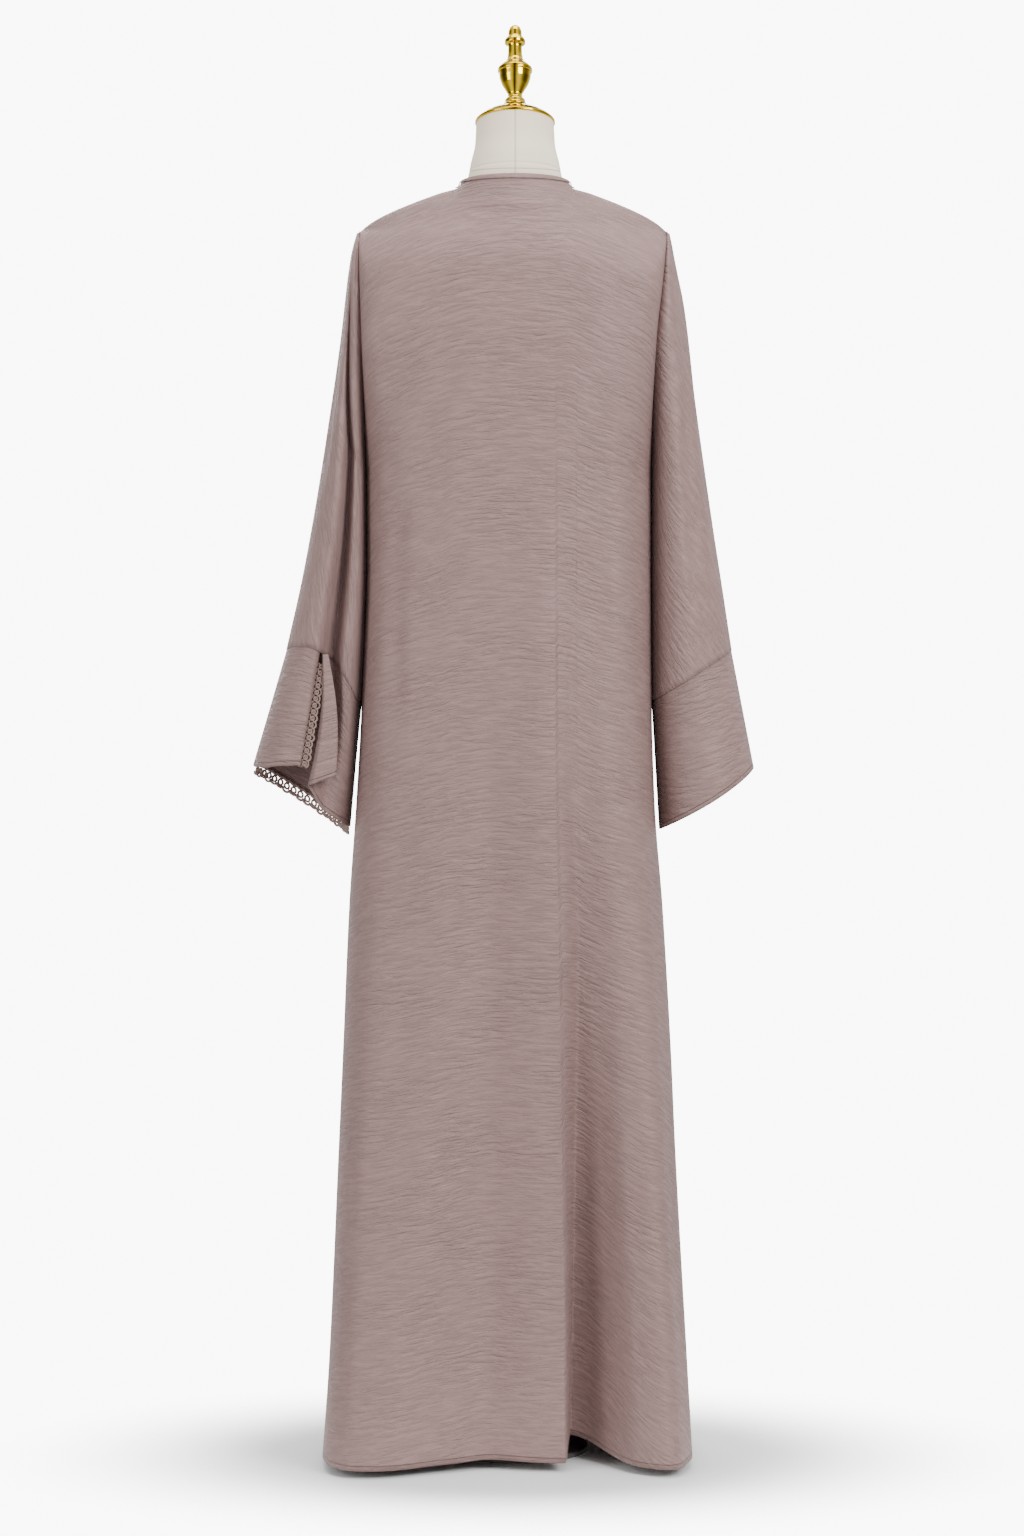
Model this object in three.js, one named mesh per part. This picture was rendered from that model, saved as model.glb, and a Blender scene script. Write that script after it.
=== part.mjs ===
// An abaya cloak hung on a limbless dress form.
// Millimetres, +Z up. The wearer's back faces -Y and the front +Y; the wearer's left is -X.
// The origin is the centre of the stand base's underside.
import * as THREE from 'three';

// ---- driving sizes ----
const CLOTH = 1.2; // wall of every cloth piece
const SEAM = 0.3; // space between neighbouring pieces
const FORM_GAP = 0.3; // space between the hard pieces of the stand
const FULL_TURN = 2 * Math.PI;
const QUARTER = Math.PI / 2;

// The hem: its lowest point above the floor, how much higher it is where the cloth falls in most,
// and at the side seams, within a share of the panel.
const HEM = { rise: 9, fallen: 16, side: 2, sideShare: 0.3 };
const PANEL_LENGTH = 1420; // neckline to hem down the back
// The neckline: its share of a panel's width, half width, reach behind and in front of its centre,
// heights, and how round its rise is at the back and at the front.
const NECK = {
  share: 0.3,
  half: 61,
  centreY: 4,
  back: 56,
  front: 72,
  sideZ: 1422,
  backZ: 1431,
  frontZ: 1382,
  backCurve: 0.45,
  frontCurve: 1.5,
};
const TIP = { left: 173, right: 169, z: 1372 }; // where the shoulder seam ends
// The shoulder: how points are spaced along its seam, how it droops to the tip, the least and the
// added height in which the cloth turns over it, and the blend beside the neckline.
const SHOULDER = { spacing: 0.94, droop: 0.15, least: 4, drop: 92, blend: 0.12, power: 6 };
const LAP = { reach: 0.05, fade: 0.3, lift: 3.9 }; // right front over left front
// Binding: how far it stands above the neckline and reaches down from it, its wall, how far off it
// lies, and its reach out along the shoulder seam in shares of the panel.
const BINDING = { rise: 0.3, fall: 5, wall: 1, off: 0.3, along: 0.028 };

// ---- tables ----
function table(names, rows) {
  return rows.map((row) => Object.fromEntries(names.map((name, i) => [name, row[i]])));
}

// A smooth curve through one column of a table, read at a place in its first column.
function read(rows, by, column, place) {
  const rising = rows[0][by] < rows[rows.length - 1][by];
  const list = rising ? rows : [...rows].reverse();
  const last = list.length - 1;
  const at = Math.min(Math.max(place, list[0][by]), list[last][by]);
  let i = 0;
  while (i < last - 1 && at > list[i + 1][by]) i += 1;
  const slope = (k) => (list[k + 1][column] - list[k][column]) / (list[k + 1][by] - list[k][by]);
  const lean = (k) => {
    if (k === 0) return slope(0);
    if (k === last) return slope(last - 1);
    const [before, after] = [slope(k - 1), slope(k)];
    return before * after <= 0 ? 0 : (2 * before * after) / (before + after);
  };
  const span = list[i + 1][by] - list[i][by];
  const t = (at - list[i][by]) / span;
  const [a, b] = [list[i][column], list[i + 1][column]];
  const [ta, tb] = [lean(i) * span, lean(i + 1) * span];
  return a + t * ta + t * t * (3 * (b - a) - 2 * ta - tb) + t * t * t * (2 * (a - b) + ta + tb);
}

// Half the armhole's depth, from the tip of the shoulder down to the armpit.
const ARMHOLE = table(
  ['z', 'half'],
  [
    [1373, 0],
    [1366, 21],
    [1352, 35],
    [1330, 46],
    [1300, 53],
    [1250, 54],
    [1200, 43],
    [1160, 27],
    [1130, 11],
    [1108, 0],
  ],
);

// Outline of the body: half widths to the wearer's left and right, depths behind and in front of
// the axis, and how square the section is.
const BODY = table(
  ['z', 'left', 'right', 'back', 'front', 'square'],
  [
    [1380, 173, 169, 84, 78, 2.3],
    [1320, 171, 163, 94, 92, 2.5],
    [1245, 168.5, 155, 100, 104, 2.7],
    [1140, 165.5, 151, 99, 112, 2.8],
    [1015, 164.5, 151, 100, 114, 2.8],
    [850, 170.5, 152, 108, 117, 2.8],
    [735, 177, 155.5, 115, 121, 2.8],
    [620, 185, 164.5, 121, 126, 2.8],
    [457, 192, 174, 130, 133, 3.1],
    [344, 197, 179, 137, 138, 3.4],
    [118, 207, 191.5, 150, 148, 4.1],
    [0, 215, 198, 156, 154, 4.5],
  ],
);

// Soft folds of the body. across: place of the bottom of the trough, from -1 at the left side seam
// to 1 at the right one; drift: how far that place moves by the top; wide: half width; deep: how far
// the cloth goes in at the hem (a ridge is negative); top: height where the fold has gone.
const FOLDS = table(
  ['panel', 'across', 'drift', 'wide', 'deep', 'top'],
  [
    ['back', -0.42, 0.03, 0.2, -4, 1000],
    ['back', -0.1, 0.01, 0.12, 6, 1050],
    ['back', 0.08, -0.01, 0.1, -5, 1150],
    ['back', 0.84, -0.1, 0.1, 8, 1000],
    ['front', -0.62, 0.05, 0.16, -12, 900],
    ['front', -0.36, 0.02, 0.2, 26, 860],
    ['front', -0.12, -0.02, 0.14, -9, 980],
    ['front', 0.24, 0.03, 0.18, 20, 800],
    ['front', 0.5, -0.02, 0.16, -10, 940],
    ['front', 0.78, -0.04, 0.14, 12, 760],
  ],
);

// The back falls in between its two flared corners: from 'in' the cloth goes in to 'low', and from
// 'rise' it comes back out to 'out'.
const HOLLOW = { in: -0.7, low: -0.04, rise: 0.28, out: 0.72, deep: 62, top: 1000 };

// The one deep fold of the back: a sharp ridge, a steep wall beside it and a long rise back out.
const DEEP_FOLD = table(
  ['z', 'ridge', 'wall', 'floor', 'deep'],
  [
    [0, 0.18, 0.02, 0.31, 54],
    [70, 0.182, 0.025, 0.31, 50],
    [190, 0.186, 0.038, 0.31, 41],
    [410, 0.189, 0.065, 0.31, 25],
    [580, 0.19, 0.09, 0.29, 13],
    [720, 0.19, 0.1, 0.27, 5],
    [850, 0.19, 0.12, 0.26, 0],
  ],
);
const RIDGE_SHARE = 0.14; // how much the ridge stands out beside the fold
const RIDGE_WIDE = 0.12;

// Sleeves. inner: height of the row at the body's side; outer: height at the outside of the arm;
// left and right: how far the outside is from the axis; deep: half depth of the tube.
const SLEEVE = table(
  ['inner', 'outer', 'left', 'right', 'deep'],
  [
    [1365, 1367.5, 176, 171.8, 23],
    [1352, 1358.5, 178.8, 173.8, 37],
    [1334, 1344.5, 182.2, 176.2, 47],
    [1308, 1323, 185.6, 180.2, 55],
    [1275, 1294, 189, 185.8, 59],
    [1230, 1254, 193.6, 191.4, 61],
    [1180, 1208, 200, 197.2, 62],
    [1125, 1158, 207.6, 203.8, 63],
    [1060, 1098, 217, 212.4, 64],
    [995, 1040, 227, 221, 65],
    [930, 980, 238.5, 230.4, 67],
    [850, 906, 255.3, 241.8, 69],
  ],
);
// How far a sleeve hangs clear of the body, how much more towards the armpit, the least depth a fold
// is measured against, and how far down the folds and the hitched seam begin.
const ARM = { clear: 1.5, pitClear: 2, pitHalf: 30, leastDeep: 30, foldFrom: 0.1, seamFrom: 0.45 };
// Folds of the sleeves: where round the arm in radians, half width, depth at the top and the foot.
const SLEEVE_FOLDS = table(
  ['arm', 'around', 'wide', 'top', 'foot'],
  [
    ['left', -1.8, 0.4, 0, 34],
    ['left', -2.45, 0.32, 3, -9],
    ['left', 1.3, 0.5, 0, 9],
    ['right', -1.15, 0.55, 0, 4],
    ['right', 1.5, 0.45, 0, 10],
    ['right', 2.2, 0.35, 0, -5],
  ],
);

// The left sleeve's lower edge is hitched up at the back, where the slit below it opens.
const LEFT_SEAM = table(
  ['around', 'rise'],
  [
    [-1, 0],
    [-0.86, -2],
    [-0.76, 10],
    [-0.64, 22],
    [-0.46, 25],
    [-0.28, 15],
    [-0.1, 3],
    [0, 0],
    [1, 0],
  ],
);

// Cuffs: the open end of each, from its outermost point to the one next to the body.
const CUFF_GAP = { out: 0.5, down: 2.8 }; // how a cuff's edge lies beyond the sleeve's
const RIGHT_MOUTH = { outerX: 267.5, outerZ: 776, innerX: 161.5, innerZ: 706, deep: 66 };
const RIGHT_SAG = { down: 5, around: -0.4, wide: 0.5 };
const LEFT_MOUTH = { outerX: 293.5, outerZ: 778, innerX: 184.5, innerZ: 709, deep: 64 };
// The left cuff is slit up the back: where its outer panel starts and where the other side ends,
// in half turns from the outside of the arm, at the seam and at the hem.
const SLIT = { top: -0.485, foot: -0.51, topEnd: 1.5, footEnd: 1.44, bow: 5.5, bowFrom: 0.75 };
// How far the hem stands from the plain tube's, by half turns round the arm.
const LEFT_HEM = table(
  ['around', 'y', 'z'],
  [
    [-0.5, -4, 36],
    [-0.38, -5, 23],
    [-0.24, -3, 8],
    [-0.08, 0, 0],
    [1.1, 0, 0],
    [1.34, 8, 2],
    [1.44, 0, 20],
  ],
);
// The part of the cuff beyond the slit is turned back on itself: how far its edge comes at the top
// and at the hem, how far it stands off and where, how much its hem climbs, how its free edge curls
// back and how it is tucked down at the top.
const FLAP = { topReach: 7, reach: 31, lift: 7, bend: 0.2, rise: 11, curl: 8, tuck: 2, steps: 4 };
// Lace: width in the slit, wall, how far it is laid under the cloth, how far it hangs below the hem,
// and the shares of the slit's height and of the hem's length that it covers.
const LACE = { wide: 12, wall: 1, under: 3, drop: 8.5 };
const LACED = { slitFrom: 0.1, slitTo: 1.02, hemFrom: 0.3, hemTo: 0.76 };

// The dress form: half width and half depth of each section, where its centre lies and how far it leans.
const TORSO = table(
  ['z', 'middleY', 'half', 'deep', 'lean'],
  [
    [1493, 11, 43.4, 43.4, 15],
    [1470, 7, 44.6, 44.4, 13],
    [1448, 2, 49.4, 47, 10],
    [1430, -2, 53, 47, 7],
    [1412, -4, 58, 47, 4],
    [1401, -5, 76, 50, 2],
    [1388, -4, 103, 55, 1],
    [1370, -2, 130, 62, 0],
    [1346, -1, 146, 70, 0],
    [1300, 0, 150, 79, 0],
    [1250, 1, 143, 86, 0],
    [1190, 2, 137, 89, 0],
    [1120, 1, 132, 86, 0],
    [1040, 0, 122, 80, 0],
    [970, 0, 130, 86, 0],
    [890, 0, 140, 92, 0],
    [830, 0, 141, 93, 0],
    [806, 0, 136, 89, 0],
    [800, 0, 128, 84, 0],
  ],
);
const FORM_FOOT = 800;
const CAP = { lean: 15, radius: 44.8, height: 21 };
const POLE_RADIUS = 12.5;
// The base plate is set forward of the pole, clear of the deep fold behind.
const BASE = { forward: 30, radius: 84, thick: 5, edge: 1.5, hub: 22, hubTop: 32 };

// ---- finishes ----
function finish(colour, roughness, metalness) {
  return new THREE.MeshStandardMaterial({ color: colour, roughness, metalness });
}
const FINISH = {
  cloth: () => finish(0xa1908d, 0.62, 0),
  lace: () => finish(0xa98a82, 0.8, 0),
  form: () => finish(0xe4ded2, 0.75, 0),
  brass: () => finish(0xc9a437, 0.2, 1),
  steel: () => finish(0xcfcfcf, 0.4, 1),
  base: () => finish(0x34312f, 0.5, 0),
};

// ---- walls of cloth ----
// A grid of points is one face of the cloth. The other face is the same points moved out by the wall.
function wall(grid, thick, outward) {
  const high = grid.length;
  const wide = grid[0].length;
  const corner = (i, j) => grid[Math.min(Math.max(i, 0), high - 1)][Math.min(Math.max(j, 0), wide - 1)];
  const points = [];
  const moved = [];
  for (let i = 0; i < high; i += 1) {
    for (let j = 0; j < wide; j += 1) {
      const down = corner(i + 1, j).clone().sub(corner(i - 1, j));
      const across = corner(i, j + 1).clone().sub(corner(i, j - 1));
      const out = across.cross(down).normalize().multiplyScalar(thick * outward);
      points.push(grid[i][j]);
      moved.push(grid[i][j].clone().add(out));
    }
  }
  const all = [...points, ...moved];
  const faces = [];
  const at = (i, j, face) => face * high * wide + i * wide + j;
  const quad = (a, b, c, d) => faces.push(a, b, c, a, c, d);
  for (let i = 0; i < high - 1; i += 1) {
    for (let j = 0; j < wide - 1; j += 1) {
      quad(at(i, j, 0), at(i, j + 1, 0), at(i + 1, j + 1, 0), at(i + 1, j, 0));
      quad(at(i, j, 1), at(i + 1, j, 1), at(i + 1, j + 1, 1), at(i, j + 1, 1));
    }
  }
  for (let i = 0; i < high - 1; i += 1) {
    quad(at(i, 0, 0), at(i + 1, 0, 0), at(i + 1, 0, 1), at(i, 0, 1));
    quad(at(i, wide - 1, 0), at(i, wide - 1, 1), at(i + 1, wide - 1, 1), at(i + 1, wide - 1, 0));
  }
  for (let j = 0; j < wide - 1; j += 1) {
    quad(at(0, j, 0), at(0, j, 1), at(0, j + 1, 1), at(0, j + 1, 0));
    quad(at(high - 1, j, 0), at(high - 1, j + 1, 0), at(high - 1, j + 1, 1), at(high - 1, j, 1));
  }
  return solid(all, faces);
}

// Closed rings of equal counts, stacked and capped at both ends.
function stack(rings) {
  const count = rings[0].length;
  const points = rings.flat();
  const faces = [];
  for (let i = 0; i < rings.length - 1; i += 1) {
    for (let j = 0; j < count; j += 1) {
      const next = (j + 1) % count;
      const [a, b] = [i * count + j, i * count + next];
      faces.push(a, b, b + count, a, b + count, a + count);
    }
  }
  for (const [ring, turn] of [[0, 1], [rings.length - 1, 0]]) {
    const middle = points.length;
    const centre = new THREE.Vector3();
    rings[ring].forEach((point) => centre.addScaledVector(point, 1 / count));
    points.push(centre);
    for (let j = 0; j < count; j += 1) {
      const [a, b] = [ring * count + j, ring * count + ((j + 1) % count)];
      faces.push(middle, turn ? b : a, turn ? a : b);
    }
  }
  return solid(points, faces);
}

// An indexed geometry whose faces point out.
function solid(points, faces) {
  let volume = 0;
  for (let k = 0; k < faces.length; k += 3) {
    const [a, b, c] = [points[faces[k]], points[faces[k + 1]], points[faces[k + 2]]];
    volume += a.dot(b.clone().cross(c));
  }
  const turned = volume < 0 ? faces.reverse() : faces;
  const geometry = new THREE.BufferGeometry();
  const numbers = points.flatMap((point) => point.toArray());
  geometry.setAttribute('position', new THREE.Float32BufferAttribute(numbers, 3));
  geometry.setIndex(turned);
  return geometry;
}

// ---- the body's form ----
function smooth(low, high, value) {
  const t = Math.min(Math.max((value - low) / (high - low), 0), 1);
  return t * t * (3 - 2 * t);
}

function bump(t) {
  return Math.abs(t) < 1 ? Math.cos(t * QUARTER) ** 2 : 0;
}

function armholeHalf(z) {
  return read(ARMHOLE, 'z', 'half', z);
}

function bodyHalf(side, z) {
  return read(BODY, 'z', side < 0 ? 'left' : 'right', z);
}

// How far the deep fold takes the cloth in.
function deepFold(u, z) {
  const row = (name) => read(DEEP_FOLD, 'z', name, z);
  const past = u - row('ridge');
  const [wallWide, floorWide, deep] = [row('wall'), row('floor'), row('deep')];
  if (past < 0) return -deep * RIDGE_SHARE * bump(past / RIDGE_WIDE);
  const into = smooth(0, wallWide, past);
  const back = 1 - smooth(wallWide * 0.7, floorWide, past);
  return deep * ((1 + RIDGE_SHARE) * into * back - RIDGE_SHARE * (1 - into));
}

function foldsAt(panel, u, z) {
  let inward = 0;
  if (panel === 'back') {
    const sides = smooth(HOLLOW.in, HOLLOW.low, u) * (1 - smooth(HOLLOW.rise, HOLLOW.out, u));
    inward = deepFold(u, z) + HOLLOW.deep * sides * (1 - smooth(0, 1, z / HOLLOW.top));
  }
  for (const fold of FOLDS.filter((row) => row.panel === panel)) {
    const height = Math.min(z / fold.top, 1);
    const fade = 1 - smooth(0, 1, height);
    inward += fold.deep * fade * bump((u - fold.across - fold.drift * height) / fold.wide);
  }
  return inward;
}

// A point on the body's section at height z, u from -1 at the left side seam to 1 at the right.
function sectionPoint(panel, u, z) {
  const facing = panel === 'back' ? -1 : 1;
  const square = read(BODY, 'z', 'square', z);
  const across = Math.sin(u * QUARTER);
  const edge = armholeHalf(z) + SEAM / 2;
  const round = Math.max(1 - Math.abs(across) ** square, 0) ** (1 / square);
  const deep = edge + (read(BODY, 'z', panel, z) - edge) * round;
  return new THREE.Vector3(bodyHalf(u, z) * across, facing * (deep - foldsAt(panel, u, z)), z);
}

// The panel's top edge: the neckline, then the shoulder seam out to the tip.
function topPoint(panel, u) {
  const facing = panel === 'back' ? -1 : 1;
  const side = Math.sign(u);
  const share = Math.abs(u) / NECK.share;
  if (share <= 1) {
    const turn = share * QUARTER;
    const edgeZ = panel === 'back' ? NECK.backZ : NECK.frontZ;
    const reach = panel === 'back' ? NECK.back : NECK.front;
    const curve = panel === 'back' ? NECK.backCurve : NECK.frontCurve;
    const z = NECK.sideZ + (edgeZ - NECK.sideZ) * Math.max(Math.cos(turn), 0) ** curve;
    return new THREE.Vector3(
      side * NECK.half * Math.sin(turn),
      NECK.centreY + facing * (reach * Math.cos(turn) + SEAM / 2),
      z,
    );
  }
  const along = (Math.abs(u) - NECK.share) / (1 - NECK.share);
  const tipX = side < 0 ? TIP.left : TIP.right;
  const down = (1 - SHOULDER.droop) * along + SHOULDER.droop * along ** SHOULDER.power;
  const seamZ = NECK.sideZ + (TIP.z - NECK.sideZ) * down;
  return new THREE.Vector3(
    side * (NECK.half + (tipX - NECK.half) * along ** SHOULDER.spacing),
    NECK.centreY * (1 - along) + (facing * SEAM) / 2,
    seamZ,
  );
}

// Height of the hem: higher where the cloth falls in.
function hemHeight(panel, u) {
  const side = HEM.side * bump((Math.abs(u) - 1) / HEM.sideShare);
  if (panel === 'front') return HEM.rise + side;
  const fallen = Math.max(foldsAt('back', u, 0), 0) / (HOLLOW.deep + DEEP_FOLD[0].deep);
  return HEM.rise + HEM.fallen * fallen ** 3 + side;
}

// Share v runs down a panel from its top edge to its hem.
function bodyPoint(panel, u, v) {
  const top = topPoint(panel, u);
  const z = top.z + (hemHeight(panel, u) - top.z) * v;
  const fall = top.z - z;
  const below = sectionPoint(panel, u, z);
  const length = SHOULDER.least + SHOULDER.drop * (1 - Math.abs(u) ** SHOULDER.power);
  const s = Math.min(fall / length, 1);
  const neckShare = smooth(NECK.share + SHOULDER.blend, NECK.share - SHOULDER.blend, Math.abs(u));
  const round = (1 - (1 - s) ** 2) ** (0.5 + 0.5 * neckShare);
  return new THREE.Vector3(
    top.x + (below.x - top.x) * round,
    top.y + (below.y - top.y) * round,
    z,
  );
}

// How far the right front stands off, so that it lies over the left one.
function lapLift(u) {
  return LAP.lift * (1 - smooth(LAP.reach, LAP.reach + LAP.fade, u));
}

function frontPoint(side, u, v) {
  const point = bodyPoint('front', u, v);
  if (side > 0) point.y += lapLift(u);
  return point;
}

// Shares from one end to the other, closer together at the start for a power above 1.
function shares(count, power = 1) {
  return Array.from({ length: count + 1 }, (_, i) => (i / count) ** power);
}

function stretches(rows) {
  const list = [rows[0].from];
  for (const { from, to, steps } of rows) {
    shares(steps).slice(1).forEach((t) => list.push(from + (to - from) * t));
  }
  return list;
}

function panel(rows, columns, pointAt) {
  return rows.map((v) => columns.map((u) => pointAt(u, v)));
}

const DOWN = shares(20, 1.7);
const BACK_COLUMNS = stretches(
  table(
    ['from', 'to', 'steps'],
    [
      [-1, -0.8, 4],
      [-0.8, -NECK.share, 5],
      [-NECK.share, 0.15, 8],
      [0.15, NECK.share, 6],
      [NECK.share, 0.7, 5],
      [0.7, 1, 5],
    ],
  ),
);
const FRONT_COLUMNS = stretches(
  table(['from', 'to', 'steps'], [[-1, -0.8, 4], [-0.8, -NECK.share, 5], [-NECK.share, LAP.reach, 6]]),
);

// ---- sleeves and cuffs ----
// A point on a sleeve. side is -1 or 1, t runs down the sleeve and a runs round it, from -1 at the
// back edge of the seam under the arm, through 0 at the outside, to 1 at the front edge.
function sleeveRow(side, t) {
  const place = t * (SLEEVE.length - 1);
  const rows = SLEEVE.map((row, i) => ({ ...row, i }));
  const value = (name) => read(rows, 'i', name, place);
  const inner = value('inner');
  const open = armholeHalf(inner) + SEAM / 2;
  const clear = CLOTH + SEAM + ARM.clear + ARM.pitClear * (1 - Math.min(open / ARM.pitHalf, 1));
  return {
    innerX: bodyHalf(side, inner) + clear,
    innerZ: inner,
    outerX: value(side < 0 ? 'left' : 'right'),
    outerZ: value('outer'),
    deep: Math.max(value('deep'), open),
    open,
  };
}

function tubePoint(side, row, a) {
  const shut = Math.asin(Math.min(row.open / row.deep, 1));
  const turn = a * (Math.PI - shut);
  const halfX = (row.outerX - row.innerX) / (1 + Math.cos(shut));
  const halfZ = (row.outerZ - row.innerZ) / (1 + Math.cos(shut));
  const [c, s] = [Math.cos(turn), Math.sin(turn)];
  return new THREE.Vector3(
    side * (row.outerX - halfX + halfX * c),
    row.deep * s,
    row.outerZ - halfZ + halfZ * c,
  );
}

function sleeveFold(side, t, a) {
  const arm = side < 0 ? 'left' : 'right';
  let inward = 0;
  for (const fold of SLEEVE_FOLDS.filter((row) => row.arm === arm)) {
    const deep = fold.top + (fold.foot - fold.top) * smooth(ARM.foldFrom, 1, t);
    inward += deep * bump((a * Math.PI - fold.around) / fold.wide);
  }
  return inward;
}

function sleevePoint(side, t, a) {
  const point = tubePoint(side, sleeveRow(side, t), a);
  point.y *= 1 - sleeveFold(side, t, a) / Math.max(Math.abs(point.y), ARM.leastDeep);
  if (side < 0) point.z += read(LEFT_SEAM, 'around', 'rise', a) * smooth(ARM.seamFrom, 1, t);
  return point;
}

function sleeve(side) {
  const across = stretches(table(['from', 'to', 'steps'], [[-1, -0.3, 11], [-0.3, 0.3, 4], [0.3, 1, 7]]));
  const grid = panel(shares(14), across, (a, t) => sleevePoint(side, t, a));
  return wall(grid, CLOTH, -side);
}

// The cuff's upper edge is the sleeve's lower edge, one seam's space further down the arm.
function cuffTop(side, a) {
  const point = sleevePoint(side, 1, a);
  return point.add(new THREE.Vector3(side * CUFF_GAP.out, 0, -CUFF_GAP.down));
}

function mouthPoint(side, a) {
  const mouth = side < 0 ? LEFT_MOUTH : RIGHT_MOUTH;
  const row = { ...mouth, open: SEAM / 2 };
  return tubePoint(side, row, a);
}

function rightCuff() {
  const across = shares(20).map((t) => 2 * t - 1);
  const grid = panel(shares(3), across, (a, t) => {
    const end = mouthPoint(1, a);
    end.z -= RIGHT_SAG.down * bump((a - RIGHT_SAG.around) / RIGHT_SAG.wide);
    return cuffTop(1, a).lerp(end, t);
  });
  return wall(grid, CLOTH, -1);
}

// A point on the left cuff, w from 0 at the slit's outer edge, round the arm, to 1 at its other edge.
function leftCuffPoint(w, t) {
  const place = (from, to) => {
    const around = from + (to - from) * w;
    return around > 1 ? around - 2 : around;
  };
  const start = cuffTop(-1, place(SLIT.top, SLIT.topEnd));
  const end = mouthPoint(-1, place(SLIT.foot, SLIT.footEnd));
  const around = SLIT.foot + (SLIT.footEnd - SLIT.foot) * w;
  end.y += read(LEFT_HEM, 'around', 'y', around);
  end.z += read(LEFT_HEM, 'around', 'z', around);
  const point = start.lerp(end, t);
  point.x += SLIT.bow * Math.sin(Math.PI * t) * smooth(SLIT.bowFrom, 1, w);
  return point;
}

// The turned-back flap, f from the fold to its free edge.
function flapPoint(f, t) {
  const point = leftCuffPoint(1, t);
  const reach = FLAP.topReach + (FLAP.reach - FLAP.topReach) * t;
  const off = smooth(0, FLAP.bend, f) * FLAP.lift;
  const back = FLAP.curl * f * f * t - off;
  const up = FLAP.rise * f * t - FLAP.tuck * (1 - t);
  return point.add(new THREE.Vector3(reach * f, back, up));
}

const CUFF_DOWN = shares(5);

function leftCuff() {
  const round = stretches(table(['from', 'to', 'steps'], [[0, 0.26, 6], [0.26, 0.72, 8], [0.72, 1, 6]]));
  const grid = CUFF_DOWN.map((t) => {
    const flap = shares(FLAP.steps).slice(1).map((f) => flapPoint(f, t));
    return [...round.map((w) => leftCuffPoint(w, t)), ...flap];
  });
  return wall(grid, CLOTH, 1);
}

// Lace up the outer edge of the slit, from just behind the cloth out into the opening.
function slitLace() {
  const down = shares(8).map((t) => LACED.slitFrom + (LACED.slitTo - LACED.slitFrom) * t);
  const grid = down.map((t) => {
    const edge = leftCuffPoint(0, t);
    const gap = leftCuffPoint(1, t).x - edge.x;
    const from = edge.x - LACE.under;
    const to = edge.x + Math.min(LACE.wide, gap - 1);
    return shares(2).map((s) => new THREE.Vector3(from + (to - from) * s, edge.y + SEAM + LACE.wall, edge.z));
  });
  return wall(grid, LACE.wall, 1);
}

// Lace inside the hem on the far side of the slit, hanging below it.
function hemLace() {
  const round = shares(18).map((t) => LACED.hemFrom + (LACED.hemTo - LACED.hemFrom) * t);
  const grid = shares(2).map((s) => round.map((w) => {
    const hem = leftCuffPoint(w, 1);
    const above = leftCuffPoint(w, 0.5);
    const down = hem.clone().sub(above).normalize();
    const along = leftCuffPoint(w + 0.01, 1).sub(leftCuffPoint(w - 0.01, 1));
    const inward = down.clone().cross(along).normalize();
    const reach = -LACE.under + (LACE.under + LACE.drop) * s;
    return hem.addScaledVector(down, reach).addScaledVector(inward, SEAM + LACE.wall);
  }));
  return wall(grid, LACE.wall, -1);
}

// ---- the neck binding ----
// A strip laid over the neckline, from the left front's edge round the back to the right front's.
function neckBinding() {
  const stops = FRONT_COLUMNS.filter((u) => Math.abs(u) < NECK.share - 0.001).reverse();
  const round = BACK_COLUMNS.filter((u) => Math.abs(u) < NECK.share + 0.001);
  const path = [
    ...stops.map((u) => ({ panel: 'front', side: -1, u })),
    ...round.map((u) => ({ panel: 'back', side: 0, u })),
    ...stops.map((u) => ({ panel: 'front', side: 1, u: -u })).reverse(),
  ];
  const at = ({ panel, side, u }, v) => (panel === 'back' ? bodyPoint(panel, u, v) : frontPoint(side, u, v));
  const out = (place, v) => {
    const step = 0.004;
    const across = at({ ...place, u: place.u + step }, v).sub(at({ ...place, u: place.u - step }, v));
    const down = at(place, v + step).sub(at(place, v));
    const normal = across.cross(down).normalize();
    return place.panel === 'back' ? normal.negate() : normal;
  };
  // Near the shoulder seam the strip's width runs out along the seam, not down the panel.
  const rows = [0, 1].map((edge) => path.map((place) => {
    const share = Math.min(Math.abs(place.u) / NECK.share, 1);
    const u = place.u + Math.sign(place.u) * edge * BINDING.along * share ** 4;
    const v = ((edge * BINDING.fall) / PANEL_LENGTH) * (1 - share ** 4) * (1 - 0.4 * share ** 2);
    const point = at({ ...place, u }, v);
    point.z += (1 - edge) * BINDING.rise;
    return point.addScaledVector(out({ ...place, u }, v), CLOTH + SEAM + BINDING.off);
  }));
  return wall(rows, BINDING.wall, -1);
}

// ---- the stand ----
function torsoRing(row, count) {
  const lean = THREE.MathUtils.degToRad(row.lean);
  return Array.from({ length: count }, (_, j) => {
    const turn = (j / count) * FULL_TURN;
    const x = row.half * Math.cos(turn);
    const y = row.deep * Math.sin(turn);
    return new THREE.Vector3(x, row.middleY + y * Math.cos(lean), row.z - y * Math.sin(lean));
  });
}

// A turned piece: radii and heights from the axis at the bottom round to the axis at the top.
function lathe(profile, steps) {
  const outline = profile.map(([radius, height]) => new THREE.Vector2(radius, height));
  const geometry = new THREE.LatheGeometry(outline, steps);
  geometry.rotateX(QUARTER);
  return geometry;
}

// Low domed cap over the neck, its underside flat and its rim a bead.
const CAP_OUTLINE = [
  [0, 0], [CAP.radius - 1, 0], [CAP.radius, 1.2], [CAP.radius, 2.6], [CAP.radius - 1.6, 4.4],
  [39, 8], [32, 12.2], [24, 15.8], [17, 18.2], [12, 20], [0, CAP.height],
];

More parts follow.
